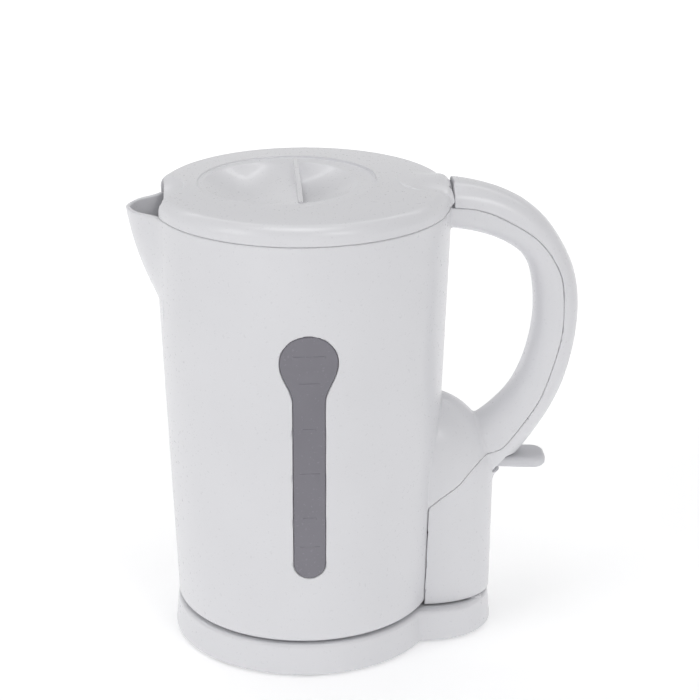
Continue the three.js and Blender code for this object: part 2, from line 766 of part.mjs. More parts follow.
// Tabs on the cover's side walls that the cover screws pull against the jug's bosses.
function coverTabs() {
  const tab = (side) => {
    const [y0, y1] = side > 0 ? [18, 29] : [-29, -18];
    const hole = rod([60, side * COVER_SCREW.y, COVER_SCREW.z], [80, side * COVER_SCREW.y, COVER_SCREW.z], 1.5);
    const x0 = COVER_SCREW.bossX + GAP;
    return block([x0, x0 + 2.2], [y0, y1], [COVER_SCREW.z - 5, COVER_SCREW.z + 5]).subtract(hole);
  };
  return tab(1).add(tab(-1)).intersect(housing(1));
}

// A screw along X, whose head's face against the work is at the given place.
function rearScrew(y, z, seat, length, head) {
  return rod([seat - length, y, z], [seat, y, z], 1.2).add(rod([seat, y, z], [seat + 1.5, y, z], head, 12));
}

// A comb of bars behind the spout, which keeps scale out of the cup.
function spoutFilter() {
  const outline = shapeOf([
    [-FILTER.halfBottom, FILTER.bottom],
    [FILTER.halfBottom, FILTER.bottom],
    [FILTER.halfTop, FILTER.top],
    [-FILTER.halfTop, FILTER.top],
  ]);
  const plate = prismAlongX(outline, FILTER.x, FILTER.x + FILTER.t);
  const slots = [-12, -8, -4, 0, 4, 8, 12].map((y) => {
    const low = FILTER.bottom + 3 + Math.max(Math.abs(y) - 8, 0) * 5;
    return block([FILTER.x - 1, FILTER.x + FILTER.t + 1], [y - 1.2, y + 1.2], [low, FILTER.top - 3]);
  });
  return plate.subtract(joined(slots));
}

// ---- lid ----

// The lid's outside: a flat top that rounds down into the skirt, moved in by an offset.
function lidOutside(inset, bottom) {
  return lathe([
    [0, bottom],
    [JUG_R1 - inset, bottom],
    [JUG_R1 - inset, 214.6],
    [JUG_R1 - 0.9 - inset, 217.6 - inset / 2],
    [JUG_R1 - 2.7 - inset, 219.8 - inset],
    [JUG_R1 - 5.4 - inset, LID_TOP - inset],
    [0, LID_TOP - inset],
  ]);
}

// The raised hood over the hinge, round about the pin at its back end.
function hood() {
  const crown = HINGE.z + HINGE.knuckle;
  const outline = shapeOf([
    [48, LID_TOP - 1.2],
    [50, LID_TOP + 0.5],
    [60, LID_TOP + 2],
    [HINGE.x, crown],
    [HINGE.x, HINGE.z - HINGE.knuckle],
    [HINGE.x - 5, LID_BOTTOM + 0.6],
    [60, LID_TOP - 3],
  ]);
  const bar = prismAlongY(outline, -HINGE.half, HINGE.half);
  const knuckle = rod([HINGE.x, -HINGE.half, HINGE.z], [HINGE.x, HINGE.half, HINGE.z], HINGE.knuckle, 28);
  const plan = lathe([[0, 200], [24, 200], [24, 230], [0, 230]], 72, 0, 32);
  const round = lathe([[0, 200], [JUG_R1, 200], [JUG_R1, 230], [0, 230]]);
  return bar.add(knuckle).intersect(plan).intersect(round);
}

// The room that the jug's two lugs need inside the hood, from closed to fully open.
function lugRoom() {
  const reach = HINGE.knuckle + 2;
  const room = (y0, y1) => {
    const below = block([HINGE.x - LUG.r - 0.5, HINGE.x + reach], [y0, y1], [200, HINGE.z]);
    const behind = block([HINGE.x, HINGE.x + reach], [y0, y1], [200, HINGE.z + LUG.r + 0.5]);
    const around = rod([HINGE.x, y0, HINGE.z], [HINGE.x, y1, HINGE.z], LUG.r + 0.4, 20);
    return below.add(behind).add(around);
  };
  return room(LUG.y0 - 0.4, LUG.y1 + 0.4).add(room(-LUG.y1 - 0.4, -LUG.y0 + 0.4));
}

// What the lid's skirt gives up behind the hinge, so that it turns down without meeting the rim.
function skirtRoom() {
  const radius = HINGE.z - LID_BOTTOM - 0.3;
  const behind = block([HINGE.x, 80], [-40, 40], [200, HINGE.z]);
  return behind.subtract(rod([HINGE.x, -41, HINGE.z], [HINGE.x, 41, HINGE.z], radius, 40));
}

function gripBowl(thickness) {
  const { x, r, depth } = GRIP_BOWL;
  const rim = LID_TOP - GRIP_RING.depth;
  const arc = [1, 0.75, 0.5, 0.25].map((share) => [
    r * share + thickness,
    rim - depth * (1 - share ** 2) - thickness,
  ]);
  return lathe([[0, LID_TOP + 3], [r + thickness, LID_TOP + 3], ...arc, [0, rim - depth - thickness]], x, 0, 36);
}

// The wall across the bowl that fingers pull on: upright on one side, with a slope on the other.
function gripWall() {
  const { x0, x1, top } = GRIP_WALL;
  const outline = shapeOf([
    [x1, top],
    [x1, 206],
    [x0 - 10, 206],
    [x0 - 8, 210.6],
    [x0 - 3, 212.4],
    [x0 - 0.6, 215.6],
    [x0 + 0.4, top - 0.5],
    [x0 + 1, top],
  ]);
  return prismAlongY(outline, -60, 60).intersect(gripBowl(1)).intersect(lidOutside(0, 200));
}

function scoop(grow) {
  const geometry = new THREE.SphereGeometry(1, 24, 12);
  geometry.scale(SCOOP.rx + grow, SCOOP.ry + grow, SCOOP.rz + grow);
  geometry.translate(SCOOP.x, 0, SCOOP.z);
  return toSolid(geometry);
}

function lidCover() {
  const ring = lathe(
    [[0, LID_TOP - GRIP_RING.depth], [GRIP_RING.r, LID_TOP - GRIP_RING.depth], [GRIP_RING.r, 230], [0, 230]],
    GRIP_RING.x,
    0,
    36,
  );
  const skin = lidOutside(0, LID_BOTTOM).subtract(lidOutside(LID_WALL, LID_BOTTOM - 1));
  const lining = gripBowl(2).add(scoop(2)).intersect(lidOutside(0, 200));
  const notch = block([-90, LID_NOTCH.x], [-LID_NOTCH.half, LID_NOTCH.half], [200, 230]);
  const pinHole = rod([HINGE.x, -20, HINGE.z], [HINGE.x, 20, HINGE.z], HINGE.pin + 0.1, 20);
  return skin
    .add(lining)
    .subtract(ring)
    .subtract(gripBowl(0))
    .add(gripWall())
    .subtract(scoop(0))
    .add(hood())
    .subtract(notch)
    .subtract(lugRoom())
    .subtract(skirtRoom())
    .subtract(pinHole);
}

// The liner closes the lid from below and plugs the jug's mouth.
function lidLiner() {
  const { r, bottom, rim } = LINER;
  const cup = lathe([
    [0, bottom],
    [r - 1, bottom],
    [r, bottom + 1],
    [r, rim - 2.5],
    [r - 2, rim - 1],
    [r - 2, bottom + 1.8],
    [0, bottom + 1.8],
  ]);
  const hingeRoom = block([56, 80], [-HINGE.half - 1, HINGE.half + 1], [bottom - 1, 230]);
  const frontRoom = scoop(2.5).add(block([-80, LID_NOTCH.x + 0.8], [-26, 26], [bottom - 1, 230]));
  return cup.subtract(hingeRoom).subtract(frontRoom).subtract(lidSteamHoles());
}

function lidSteamHoles() {
  return joined([-30, -15, 0, 15, 30].map((y) => rod([40, y, 200], [40, y, 208], 2.2)));
}

// ---- element, control and switch ----

function heatingElement() {
  const half = [
    [FLANGE.x0 - GAP, 9, ELEMENT_Z],
    [40, 9, ELEMENT_Z],
    [29, 12, 40],
    [20, 22, 24],
    [10, 34, 14],
    [-12, 40, 12],
    [-32, 28, 12],
  ];
  const other = half.map(([x, y, z]) => [x, -y, z]).reverse();
  const points = [...half, [-41, 0, 12], ...other].map((point) => new THREE.Vector3(...point));
  const path = new THREE.CatmullRomCurve3(points, false, "centripetal");
  const section = shapeOf(
    Array.from({ length: 8 }, (_, i) => [
      ELEMENT_TUBE * Math.cos((i * Math.PI) / 4),
      ELEMENT_TUBE * Math.sin((i * Math.PI) / 4),
    ]),
  );
  return toSolid(new THREE.ExtrudeGeometry(section, { steps: 56, extrudePath: path }));
}

function elementFlange() {
  const { r, x0, x1, boss, bossX } = FLANGE;
  const disc = latheAlongX([[0, x0], [r, x0], [r, x1], [boss, x1], [boss, bossX], [0, bossX]], ELEMENT_Z);
  return disc.subtract(joined(controlScrewPlaces().map(([y, z]) => rod([54, y, z], [60, y, z], 1.2 + GAP))));
}

function elementGasket() {
  const [x0, x1] = [FLANGE.x1 + GAP, REAR_WALL - GAP];
  const inner = FLANGE.boss + GAP;
  return latheAlongX([[inner, x0], [FLANGE.r - 0.5, x0], [FLANGE.r - 0.5, x1], [inner, x1], [inner, x0]], ELEMENT_Z);
}

function controlScrewPlaces() {
  return CONTROL_SCREWS.angles.map((degrees) => {
    const [y, z] = polar([CONTROL_SCREWS.circle, degrees]);
    return [y, ELEMENT_Z + z];
  });
}

function controlUnit() {
  const disc = rod([CONTROL.x0, 0, ELEMENT_Z], [CONTROL.x1, 0, ELEMENT_Z], CONTROL.r, 32);
  const box = block([CONTROL.x0, CONTROL.boxX], [-CONTROL.boxHalf, CONTROL.boxHalf], [CONTROL.boxZ0, CONTROL.boxZ1]);
  const sunk = controlScrewPlaces().map(([y, z]) =>
    rod([50, y, z], [80, y, z], 1.2 + GAP).add(rod([62.7, y, z], [80, y, z], 3.3, 16)),
  );
  return disc.add(box).subtract(joined(sunk));
}

function blade(y) {
  return block([CONTROL.x1 + GAP, BLADE.x1], [y - BLADE.half, y + BLADE.half], [BLADE.z0, BLADE.z1]);
}

// The steam bimetal: a shallow sprung dome facing the hollow of the handle.
function bimetalDisc() {
  const x = CONTROL.boxX + GAP;
  const profile = [[0, x + 0.9], [9, x], [9, x + 0.5], [0, x + 1.4]];
  return latheAlongX(profile, 80, 24);
}

// The rocker: the paddle outside, a hub about the pivot, and a tail towards the control.
function switchLever() {
  const mid = PIVOT.z;
  const tip = PADDLE.x1;
  const outline = new THREE.Shape();
  outline.moveTo(PIVOT.x, mid - 2.2);
  outline.lineTo(tip - 4, mid - PADDLE.drop - 2.2);
  outline.quadraticCurveTo(tip, mid - PADDLE.drop - 2, tip, mid - PADDLE.drop);
  outline.quadraticCurveTo(tip, mid - PADDLE.drop + 2, tip - 4, mid - PADDLE.drop + 2.2);
  outline.lineTo(PIVOT.x, mid + 2.2);
  const plan = lathe([[0, 0], [PADDLE.half + 5, 0], [PADDLE.half + 5, 100], [0, 100]], tip - 15, 0, 32);
  const inner = block([60, tip - 12], [-PADDLE.half, PADDLE.half], [50, 100]);
  const paddle = prismAlongY(outline, -PADDLE.half, PADDLE.half, 0.8).intersect(plan.add(inner));
  const hub = rod([PIVOT.x, -PADDLE.half, mid], [PIVOT.x, PADDLE.half, mid], 3.4, 24);
  const tail = block([82, PIVOT.x], [-3, 3], [mid - 1.2, mid + 1.2]);
  const hole = rod([PIVOT.x, -20, mid], [PIVOT.x, 20, mid], PIVOT.r + 0.1, 16);
  return paddle.add(hub).add(tail).subtract(hole);
}

// The over-centre spring of the switch: a bowed leaf between the control and the lever's tail.
function toggleSpring() {
  const shape = new THREE.Shape();
  const x0 = CONTROL.boxX + GAP;
  const z = PIVOT.z - 9;
  shape.moveTo(x0, z);
  shape.quadraticCurveTo(x0 + 5, z - 1, x0 + 6, z + 4.5);
  shape.lineTo(x0 + 5.6, z + 4.6);
  shape.quadraticCurveTo(x0 + 4.7, z - 0.4, x0, z + 0.5);
  return prismAlongY(shape, -2, 2);
}

// ---- assembly ----
function addPiece(group, name, solid, material) {
  const mesh = new THREE.Mesh(toGeometry(solid), MATERIALS[material]);
  mesh.name = name;
  group.add(mesh);
}

const group = new THREE.Group();

const base = new THREE.Group();
base.position.x = AXIS_X;
group.add(base);
addPiece(base, "base_top", baseTop(), "white");
addPiece(base, "base_bottom", baseBottom(), "white");
addPiece(base, "connector_tower", connectorTower(), "white");
addPiece(base, "terminal_block", terminalBlock(), "control");
addPiece(base, "cord_gland", cordGland(), "rubber");
addPiece(base, "cord_clamp", cordClamp(), "control");
Object.entries(POLES).forEach(([pole, y]) => addPiece(base, `contact_${pole}`, contact(y), "brass"));
FEET.forEach((place, i) => addPiece(base, `foot_${i + 1}`, foot(place), "rubber"));
BASE_SCREWS.forEach((place, i) => {
  const [x, y] = polar(place);
  addPiece(base, `base_screw_${i + 1}`, upwardScrew(x, y, FOOT_PROUD + 1.2 - GAP, 9), "steel");
});
[-1, 1].forEach((side, i) => {
  const y = (CLAMP.y0 + CLAMP.y1) / 2;
  const screw = upwardScrew(side * CLAMP.screwX, y, CLAMP.z0 - GAP, 9, 2.2);
  addPiece(base, `clamp_screw_${i + 1}`, screw, "steel");
});

const jug = new THREE.Group();
jug.position.set(AXIS_X, 0, JUG_Z);
group.add(jug);
addPiece(jug, "jug_body", jugBody(), "white");
addPiece(jug, "handle_cover", handleCover(), "white");
addPiece(jug, "water_window", waterWindow(), "window");
addPiece(jug, "spout_filter", spoutFilter(), "filter");
addPiece(jug, "heating_element", heatingElement(), "element");
addPiece(jug, "element_flange", elementFlange(), "steel");
addPiece(jug, "element_gasket", elementGasket(), "silicone");
addPiece(jug, "control_unit", controlUnit(), "control");
addPiece(jug, "steam_bimetal", bimetalDisc(), "brass");
addPiece(jug, "toggle_spring", toggleSpring(), "steel");
Object.entries(POLES).forEach(([pole, y]) => addPiece(jug, `blade_${pole}`, blade(y), "brass"));
controlScrewPlaces().forEach(([y, z], i) =>
  addPiece(jug, `control_screw_${i + 1}`, rearScrew(y, z, 63, 8, 3), "steel"),
);
[-1, 1].forEach((side, i) => {
  const seat = COVER_SCREW.bossX + 2.2 + 2 * GAP;
  const screw = rearScrew(side * COVER_SCREW.y, COVER_SCREW.z, seat, 9, 2.8);
  addPiece(jug, `cover_screw_${i + 1}`, screw, "steel");
});
addPiece(
  jug,
  "switch_pivot",
  rod([PIVOT.x, -PIVOT.half, PIVOT.z], [PIVOT.x, PIVOT.half, PIVOT.z], PIVOT.r, 16),
  "steel",
);
addPiece(jug, "lid_pin", rod([HINGE.x, -14, HINGE.z], [HINGE.x, 14, HINGE.z], HINGE.pin, 20), "steel");
addPiece(jug, "lid_cover", lidCover(), "white");
addPiece(jug, "lid_liner", lidLiner(), "white");
addPiece(jug, "switch_lever", switchLever(), "lever");

export default group;
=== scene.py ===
"""Looks for a cordless jug kettle on its power base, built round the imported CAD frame.

Shapes are written in millimetres as distance functions: negative inside a piece, positive outside it.
Every piece has x = 0 at the jug's axis. The jug, lid and switch have z = 0 at the jug's underside,
and the base has z = 0 on the floor.
polygonise() turns a distance function into a closed mesh, and put() places the mesh in the shared frame.
"""

import json
import math

import bpy
import numpy as np
from mathutils import Matrix, Vector


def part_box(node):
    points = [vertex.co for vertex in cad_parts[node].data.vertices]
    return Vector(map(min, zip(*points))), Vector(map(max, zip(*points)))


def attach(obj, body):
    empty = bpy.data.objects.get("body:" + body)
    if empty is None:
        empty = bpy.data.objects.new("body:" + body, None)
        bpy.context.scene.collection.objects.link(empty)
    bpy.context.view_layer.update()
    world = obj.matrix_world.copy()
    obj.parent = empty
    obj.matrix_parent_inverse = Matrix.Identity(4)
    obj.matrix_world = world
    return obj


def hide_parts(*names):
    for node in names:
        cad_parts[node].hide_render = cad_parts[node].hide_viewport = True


MM = 0.001
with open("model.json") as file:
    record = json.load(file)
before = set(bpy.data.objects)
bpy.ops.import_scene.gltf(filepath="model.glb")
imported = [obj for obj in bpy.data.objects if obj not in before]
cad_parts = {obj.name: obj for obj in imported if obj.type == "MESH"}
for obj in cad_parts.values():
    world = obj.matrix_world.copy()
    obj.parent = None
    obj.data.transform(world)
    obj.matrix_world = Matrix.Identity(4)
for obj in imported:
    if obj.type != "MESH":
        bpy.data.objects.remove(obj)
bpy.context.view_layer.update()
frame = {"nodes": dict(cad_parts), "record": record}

# ---- places, from the frame, in millimetres ----
AXIS_X = (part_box("water_window")[0].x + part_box("water_window")[1].x) / 2 / MM
JUG_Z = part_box("jug_body")[0].z / MM
PAD_RISE = 0.8
SEAT_GAP = 0.3  # between the base's pads and the seated jug
BASE_TOP = JUG_Z - PAD_RISE - SEAT_GAP

# ---- sizes, in millimetres ----
RIM_R = -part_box("jug_body")[0].y / MM
FOOT_R = RIM_R - 8.3  # the jug's radius at its underside
SEAM = 212  # height of the seam between jug and lid
WALL = 2.5
THIN_WALL = 2.2
JOINT_GAP = 0.3
PARTING_GAP = 0.05  # between the handle's two halves
REAR_WALL = 54.3  # the flat rear of the water space
DRY_SIDE = REAR_WALL + WALL
SHELF = 110.5  # height of the top of that rear wall
JUG_REAR = 44  # nothing of the handle or housing is in front of this x
SPOUT_TIP = AXIS_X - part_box("jug_body")[0].x / MM
SPOUT = {"drop": 62, "half": 22, "nose": 11, "edge": 9}
HOUSING = {"x": 60, "spring": 66, "length": 37.9, "half": 27.6, "dome": 44, "power": 2.2}
HANDLE = {"root": 66, "half": 13.5, "power": 2.5}
PIVOT = (90, 72.5)  # x and z of the switch's axis
HINGE = (69.5, 218.8)  # x and z of the lid's axis
PIN_BORE_R = 1.6
PIN_HALF = 14.3
BARREL_ROOM = 6.0  # radius about the lid's axis that the lid's barrel turns in
LUG_R = 2.7
LUG_Y = 8
LUG_FOOT = 206
LID_TOP = 221  # height of the lid's edge
LID_CROWN = 4.8  # how much higher the lid's middle is
PEG = {"x": -55.5, "y": -6.5, "half": 3.75, "height": 9}
POCKET = {"radius": 5.6, "top": 8.7}  # in the jug's underside, over the peg

# ---- meshing ----
DETAIL = 1
BLOCK = 8  # cells along each side of a block
BATCH = 1500  # blocks worked out together
RUN = 40000  # points worked out together
GRID_SHIFT = 0.37  # of a cell, which keeps the shapes' flat faces off the grid's planes
SLOPE_REACH = 0.02
NORMAL_REACH = 0.12
LEAST_AGREEMENT = 0.5  # of the function's normal with the mesh's own, or the mesh's own is kept


# ---- distance functions ----
def meet(a, b, radius):
    """What lies in both, with a convex edge of that radius."""
    inside = np.minimum(np.maximum(a, b), -radius)
    return inside + np.hypot(np.maximum(a + radius, 0), np.maximum(b + radius, 0))


def merge(a, b, radius):
    """Both together, with a fillet of that radius where they meet."""
    return -meet(-a, -b, radius)


def cut(a, b, radius):
    """a without b."""
    return meet(a, -b, radius)


def blend(a, b, reach):
    """Both together, flowing into each other over that reach."""
    near = np.maximum(reach - np.abs(a - b), 0) / reach
    return np.minimum(a, b) - near * near * reach / 4


def smoothstep(low, high, value):
    """0 at low, 1 at high and level at both."""
    t = np.clip((value - low) / (high - low), 0, 1)
    return t * t * (3 - 2 * t)


def box(x, y, z, xs, ys, zs, radius):
    """A block between the limits of each axis, with rounded edges."""
    sides = []
    for value, (low, high) in ((x, xs), (y, ys), (z, zs)):
        sides.append(np.abs(value - (low + high) / 2) - (high - low) / 2)
    return meet(meet(sides[0], sides[1], radius), sides[2], radius)


class Line:
    """Signed distance from a smooth line in the X-Z plane, positive on the left of its direction."""

    CELL = 0.5
    LOW = (36, -6)  # the first corner of the grid that holds the distances
    COUNT = (236, 496)
    LEAD = 70  # how many times its last stretch the line runs on, straight, at each end

    def __init__(self, points):
        points = np.asarray(points, float)
        ends = [2 * points[0] - points[1], *points, 2 * points[-1] - points[-2]]
        dense = [points[0] + (points[0] - points[1]) * self.LEAD]
        for before, start, end, after in zip(ends, ends[1:], ends[2:], ends[3:]):
            for t in np.arange(0, 1, 0.1):
                bend = 2 * before - 5 * start + 4 * end - after
                twist = 3 * (start - end) + after - before
                dense.append(start + 0.5 * t * (end - before + t * (bend + t * twist)))
        dense += [points[-1], points[-1] + (points[-1] - points[-2]) * self.LEAD]
        axes = [low + self.CELL * np.arange(n) for low, n in zip(self.LOW, self.COUNT)]
        grid = np.stack(np.meshgrid(*axes, indexing="ij"), -1)
        nearest = np.full(self.COUNT, 1e9)
        signed = np.zeros(self.COUNT)
        for a, b in zip(dense[:-1], dense[1:]):
            step = b - a
            if step @ step < 1e-9:
                continue
            t = np.clip(((grid - a) @ step) / (step @ step), 0, 1)
            away = grid - a - t[..., None] * step
            far = np.hypot(away[..., 0], away[..., 1])
            side = step[0] * (grid[..., 1] - a[1]) - step[1] * (grid[..., 0] - a[0])
            closer = far < nearest - 1e-9
            nearest[closer] = far[closer]
            signed[closer] = (np.sign(side) * far)[closer]
        self.values = signed

    def __call__(self, x, z):
        i = np.clip((x - self.LOW[0]) / self.CELL, 0, self.COUNT[0] - 1.001)
        k = np.clip((z - self.LOW[1]) / self.CELL, 0, self.COUNT[1] - 1.001)
        a, b = i.astype(int), k.astype(int)
        i, k = i - a, k - b
        v = self.values
        near = v[a, b] * (1 - i) + v[a + 1, b] * i
        far = v[a, b + 1] * (1 - i) + v[a + 1, b + 1] * i
        return near * (1 - k) + far * k


# ---- from distance to mesh ----
CORNERS = np.array([(i, j, k) for i in (0, 1) for j in (0, 1) for k in (0, 1)])
EDGES = [(a, b) for a in range(8) for b in range(a) if abs(CORNERS[a] - CORNERS[b]).sum() == 1]
AXIS_CORNER = [4, 2, 1]  # the corner one cell along each axis from the first


def sample(distance, points):
    """The distance at each point, in runs that are short enough to stay fast."""
    runs = np.array_split(points, max(1, len(points) // RUN))
    return np.concatenate([distance(*run.T) for run in runs])


def gradient(distance, points, reach):
    """The slope of the distance at each point, measured on both sides of it."""
    slopes = []
    for axis in range(3):
        step = np.zeros(3)
        step[axis] = reach
        slopes.append((sample(distance, points + step) - sample(distance, points - step)) / (2 * reach))
    return np.stack(slopes, -1)


def settle(distance, points, step, rounds):
    """Moves the points on to the surface, by at most 0.6 of a step in each round."""
    for _ in range(rounds):
        here = sample(distance, points)
        ahead = [sample(distance, points + side) for side in np.eye(3) * SLOPE_REACH]
        slope = (np.stack(ahead, -1) - here[:, None]) / SLOPE_REACH
        away = here / np.maximum((slope**2).sum(1), 0.05)
        points = points - slope * np.clip(away, -0.6 * step, 0.6 * step)[:, None]
    return points


def block_cells(distance, low, step, block):
    """The cells of one batch of blocks that the surface passes through, with their corner values."""
    local = np.stack(np.meshgrid(*[np.arange(BLOCK + 1)] * 3, indexing="ij"), -1)
    at = block[:, None, None, None] * BLOCK + local
    places = (low + at.reshape(-1, 3) * step).astype(np.float32)
    values = sample(distance, places).reshape(at.shape[:-1])
    corner = [values[:, i : i + BLOCK, j : j + BLOCK, k : k + BLOCK] for i, j, k in CORNERS]
    inside = sum((c < 0).astype(np.int8) for c in corner)
    found = np.nonzero((inside > 0) & (inside < 8))
    cells = block[found[0]] * BLOCK + np.stack(found[1:], -1)
    return cells, np.stack([c[found] for c in corner], -1)


def polygonise(distance, low, high, step):
    """Points and quads of the surface where distance is zero, by surface nets."""
    step *= DETAIL
    low = np.asarray(low) - GRID_SHIFT * step
    count = np.ceil((np.asarray(high) - low) / (step * BLOCK)).astype(int)
    blocks = np.stack(np.meshgrid(*map(np.arange, count), indexing="ij"), -1).reshape(-1, 3)
    middle = low + (blocks + 0.5) * BLOCK * step
    blocks = blocks[np.abs(sample(distance, middle)) < 1.15 * BLOCK * step]
    batches = np.array_split(blocks, max(1, len(blocks) // BATCH))
    parts = [block_cells(distance, low, step, batch) for batch in batches if len(batch)]
    cells = np.concatenate([p[0] for p in parts])
    values = np.concatenate([p[1] for p in parts])
    total = np.zeros((len(cells), 3))
    crossings = np.zeros(len(cells))
    for a, b in EDGES:
        va, vb = values[:, a], values[:, b]
        hit = (va < 0) != (vb < 0)
        t = va[hit] / (va[hit] - vb[hit])
        total[hit] += CORNERS[a] + t[:, None] * (CORNERS[b] - CORNERS[a])
        crossings[hit] += 1
    points = low + (cells + total / crossings[:, None]) * step
    stride = np.array([(count[1] * BLOCK + 2) * (count[2] * BLOCK + 2), count[2] * BLOCK + 2, 1])
    ids = cells @ stride
    order = np.argsort(ids)
    ranked = ids[order]
    quads = []
    for axis in range(3):
        u, v = stride[(axis + 1) % 3], stride[(axis + 2) % 3]
        hit = (values[:, 0] < 0) != (values[:, AXIS_CORNER[axis]] < 0)
        ring = ids[hit][:, None] - np.array([0, u, u + v, v])
        quad = order[np.clip(np.searchsorted(ranked, ring), 0, len(ids) - 1)]
        whole = (ids[quad] == ring).all(1)
        turned = values[hit, 0] >= 0
        quad[turned] = quad[turned][:, ::-1]
        quads.append(quad[whole])
    return settle(distance, points, step, 2), np.concatenate(quads)


def mesh_of(name, points, quads):
    """A Blender mesh of those points and quads."""
    mesh = bpy.data.meshes.new(name)
    mesh.vertices.add(len(points))
    mesh.vertices.foreach_set("co", points.astype(np.float32).ravel())
    mesh.loops.add(quads.size)
    mesh.loops.foreach_set("vertex_index", quads.astype(np.int32).ravel())
    mesh.polygons.add(len(quads))
    mesh.polygons.foreach_set("loop_start", np.arange(0, quads.size, quads.shape[1], dtype=np.int32))
    mesh.update(calc_edges=True)
    mesh.validate()
    return mesh


def thinned(obj, ratio):
    """The object's mesh with that share of its faces, taken where it is flattest."""
    if ratio < 1:
        modifier = obj.modifiers.new("thin", "DECIMATE")
        modifier.ratio = ratio
        made = bpy.data.meshes.new_from_object(obj.evaluated_get(bpy.context.evaluated_depsgraph_get()))
        obj.modifiers.clear()
        obj.data = made
    return obj.data


def solid(name, distance, low, high, step, keep=1.0):
    """A smooth closed mesh of a distance function, in millimetres, with its normals from the function."""
    points, quads = polygonise(distance, low, high, step)
    obj = bpy.data.objects.new(name, mesh_of(name, points, quads))
    bpy.context.scene.collection.objects.link(obj)
    mesh = thinned(obj, keep)
    points = np.zeros(len(mesh.vertices) * 3)
    mesh.vertices.foreach_get("co", points)
    points = settle(distance, points.reshape(-1, 3), step, 2 if keep < 1 else 0)
    mesh.vertices.foreach_set("co", points.astype(np.float32).ravel())
    normals = gradient(distance, points, NORMAL_REACH)
    normals /= np.maximum(np.linalg.norm(normals, axis=1), 1e-6)[:, None]
    mesh.polygons.foreach_set("use_smooth", np.ones(len(mesh.polygons), bool))
    mesh.update()
    own = np.zeros(len(mesh.vertices) * 3)
    mesh.vertices.foreach_get("normal", own)
    own = own.reshape(-1, 3)
    astray = (normals * own).sum(1) < LEAST_AGREEMENT
    normals[astray] = own[astray]
    mesh.normals_split_custom_set_from_vertices(normals.astype(np.float32))
    mesh.name = name
    return obj


def put(obj, body, slot, nodes, lift=0.0):
    """Places a piece made in the axis frame, in millimetres, on its body."""
    obj.data.transform(Matrix.Translation((AXIS_X * MM, 0, lift * MM)) @ Matrix.Scale(MM, 4))
    obj.data.materials.clear()
    obj.data.materials.append(SLOT_MATERIAL[slot])
    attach(obj, body)
    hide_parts(*nodes)


# ---- the jug's shapes ----
def jug_radius(z):
    """The radius of the jug's outside at that height."""
    return FOOT_R + (RIM_R - FOOT_R) * z / SEAM


def cone(x, y, z):
    """The jug's plain outside, without its spout."""
    return np.hypot(x, y) - jug_radius(z)


def spout_ridge(below):
    """How far the spout reaches from the axis, that much below the seam."""
    return SPOUT_TIP - 0.13 * below - 0.003 * below**2


def spout(x, y, z):
    """The spout's outside: two nearly flat sides that meet in a rounded nose."""
    below = np.clip(SEAM - z, 0, SPOUT["drop"])
    tip = spout_ridge(below)
    half = SPOUT["half"] - 0.0017 * below**2
    nose = np.maximum(SPOUT["nose"] - 0.13 * below, 3)
    wall = np.sqrt(jug_radius(z) ** 2 - half**2)
    depth = np.maximum(tip - 2.5 - wall, 1.2)
    slope = (half - nose) / depth
    side = (np.abs(y) - half + slope * (-x - wall)) / np.sqrt(1 + slope**2)
    side = np.maximum(side, np.abs(y) - half - 2)
    edge = np.clip(SPOUT["edge"] - 0.12 * below, 1.5, SPOUT["edge"])
    ridge = meet(side, -x - tip, edge)
    return np.maximum(np.maximum(ridge, x + 45), SEAM - SPOUT["drop"] - 1 - z)


def jug_outside(x, y, z):
    """The jug with its spout, flowing together more widely near the rim."""
    reach = np.clip(4.5 - 0.1 * (SEAM - z), 0.6, 4.5)
    return blend(cone(x, y, z), spout(x, y, z), reach)


def housing(x, y, z):
    """The domed housing behind the jug, over the control and the connector."""
    rise = np.clip(z / HOUSING["spring"], 0, 1)
    length = HOUSING["length"] + 0.9 * rise
    pinch = np.clip((z - 80) / 32, 0, 0.97)
    half = (HOUSING["half"] + 2.8 * rise) * (1 - pinch**4) ** 0.25
    out = np.maximum(x - HOUSING["x"], 0) / length
    up = np.maximum(z - HOUSING["spring"], 0) / HOUSING["dome"]
    a = np.hypot(out, up) ** HOUSING["power"]
    b = (np.abs(y) / half) ** HOUSING["power"]
    scale = (a * 40 + b * 29 + 0.03) / (a + b + 1e-3)
    return (np.maximum(a + b, 1e-6) ** (1 / HOUSING["power"]) - 1) * scale


# points on the handle's outline and on its parting line, as (x, z)
HANDLE_BACK = [
    (66, 224.2), (78, 223.2), (90, 220.9), (102, 216.8), (113.5, 210.4), (124, 200.8), (132.4, 188),
    (137.8, 175.5), (140.3, 162), (140.3, 147), (138.2, 131.5), (134, 115.5), (127.5, 100.8),
    (118.5, 86.3), (108.5, 73.2), (99, 62.5),
]
HANDLE_FINGER = [
    (66, 200), (78, 198.4), (88, 196.3), (97, 193.2), (104.6, 189.3), (110.6, 184.4),
    (114.6, 177.3), (116.8, 168.5), (117.8, 158.5), (117.6, 147.5), (115.8, 136), (112, 123),
    (105.8, 111), (96.5, 101), (86, 93), (76, 84),
]
PARTING = [
    (54, 49.5), (62.6, 55.9), (70, 61.8), (78.4, 67.5), (84, 73), (90.6, 77.6), (97, 79.3),
    (103.5, 82.8), (114.9, 98), (122.3, 111.1), (128.5, 130.2), (131.6, 145.2), (131.8, 162.1),
    (129.9, 174.8), (123.8, 186.7), (116, 195.5), (104.5, 203), (94.9, 207.8), (84.5, 210.9),
    (70, 212.6),
]
handle_back = Line(HANDLE_BACK)
handle_finger = Line(HANDLE_FINGER)
parting = Line(PARTING)


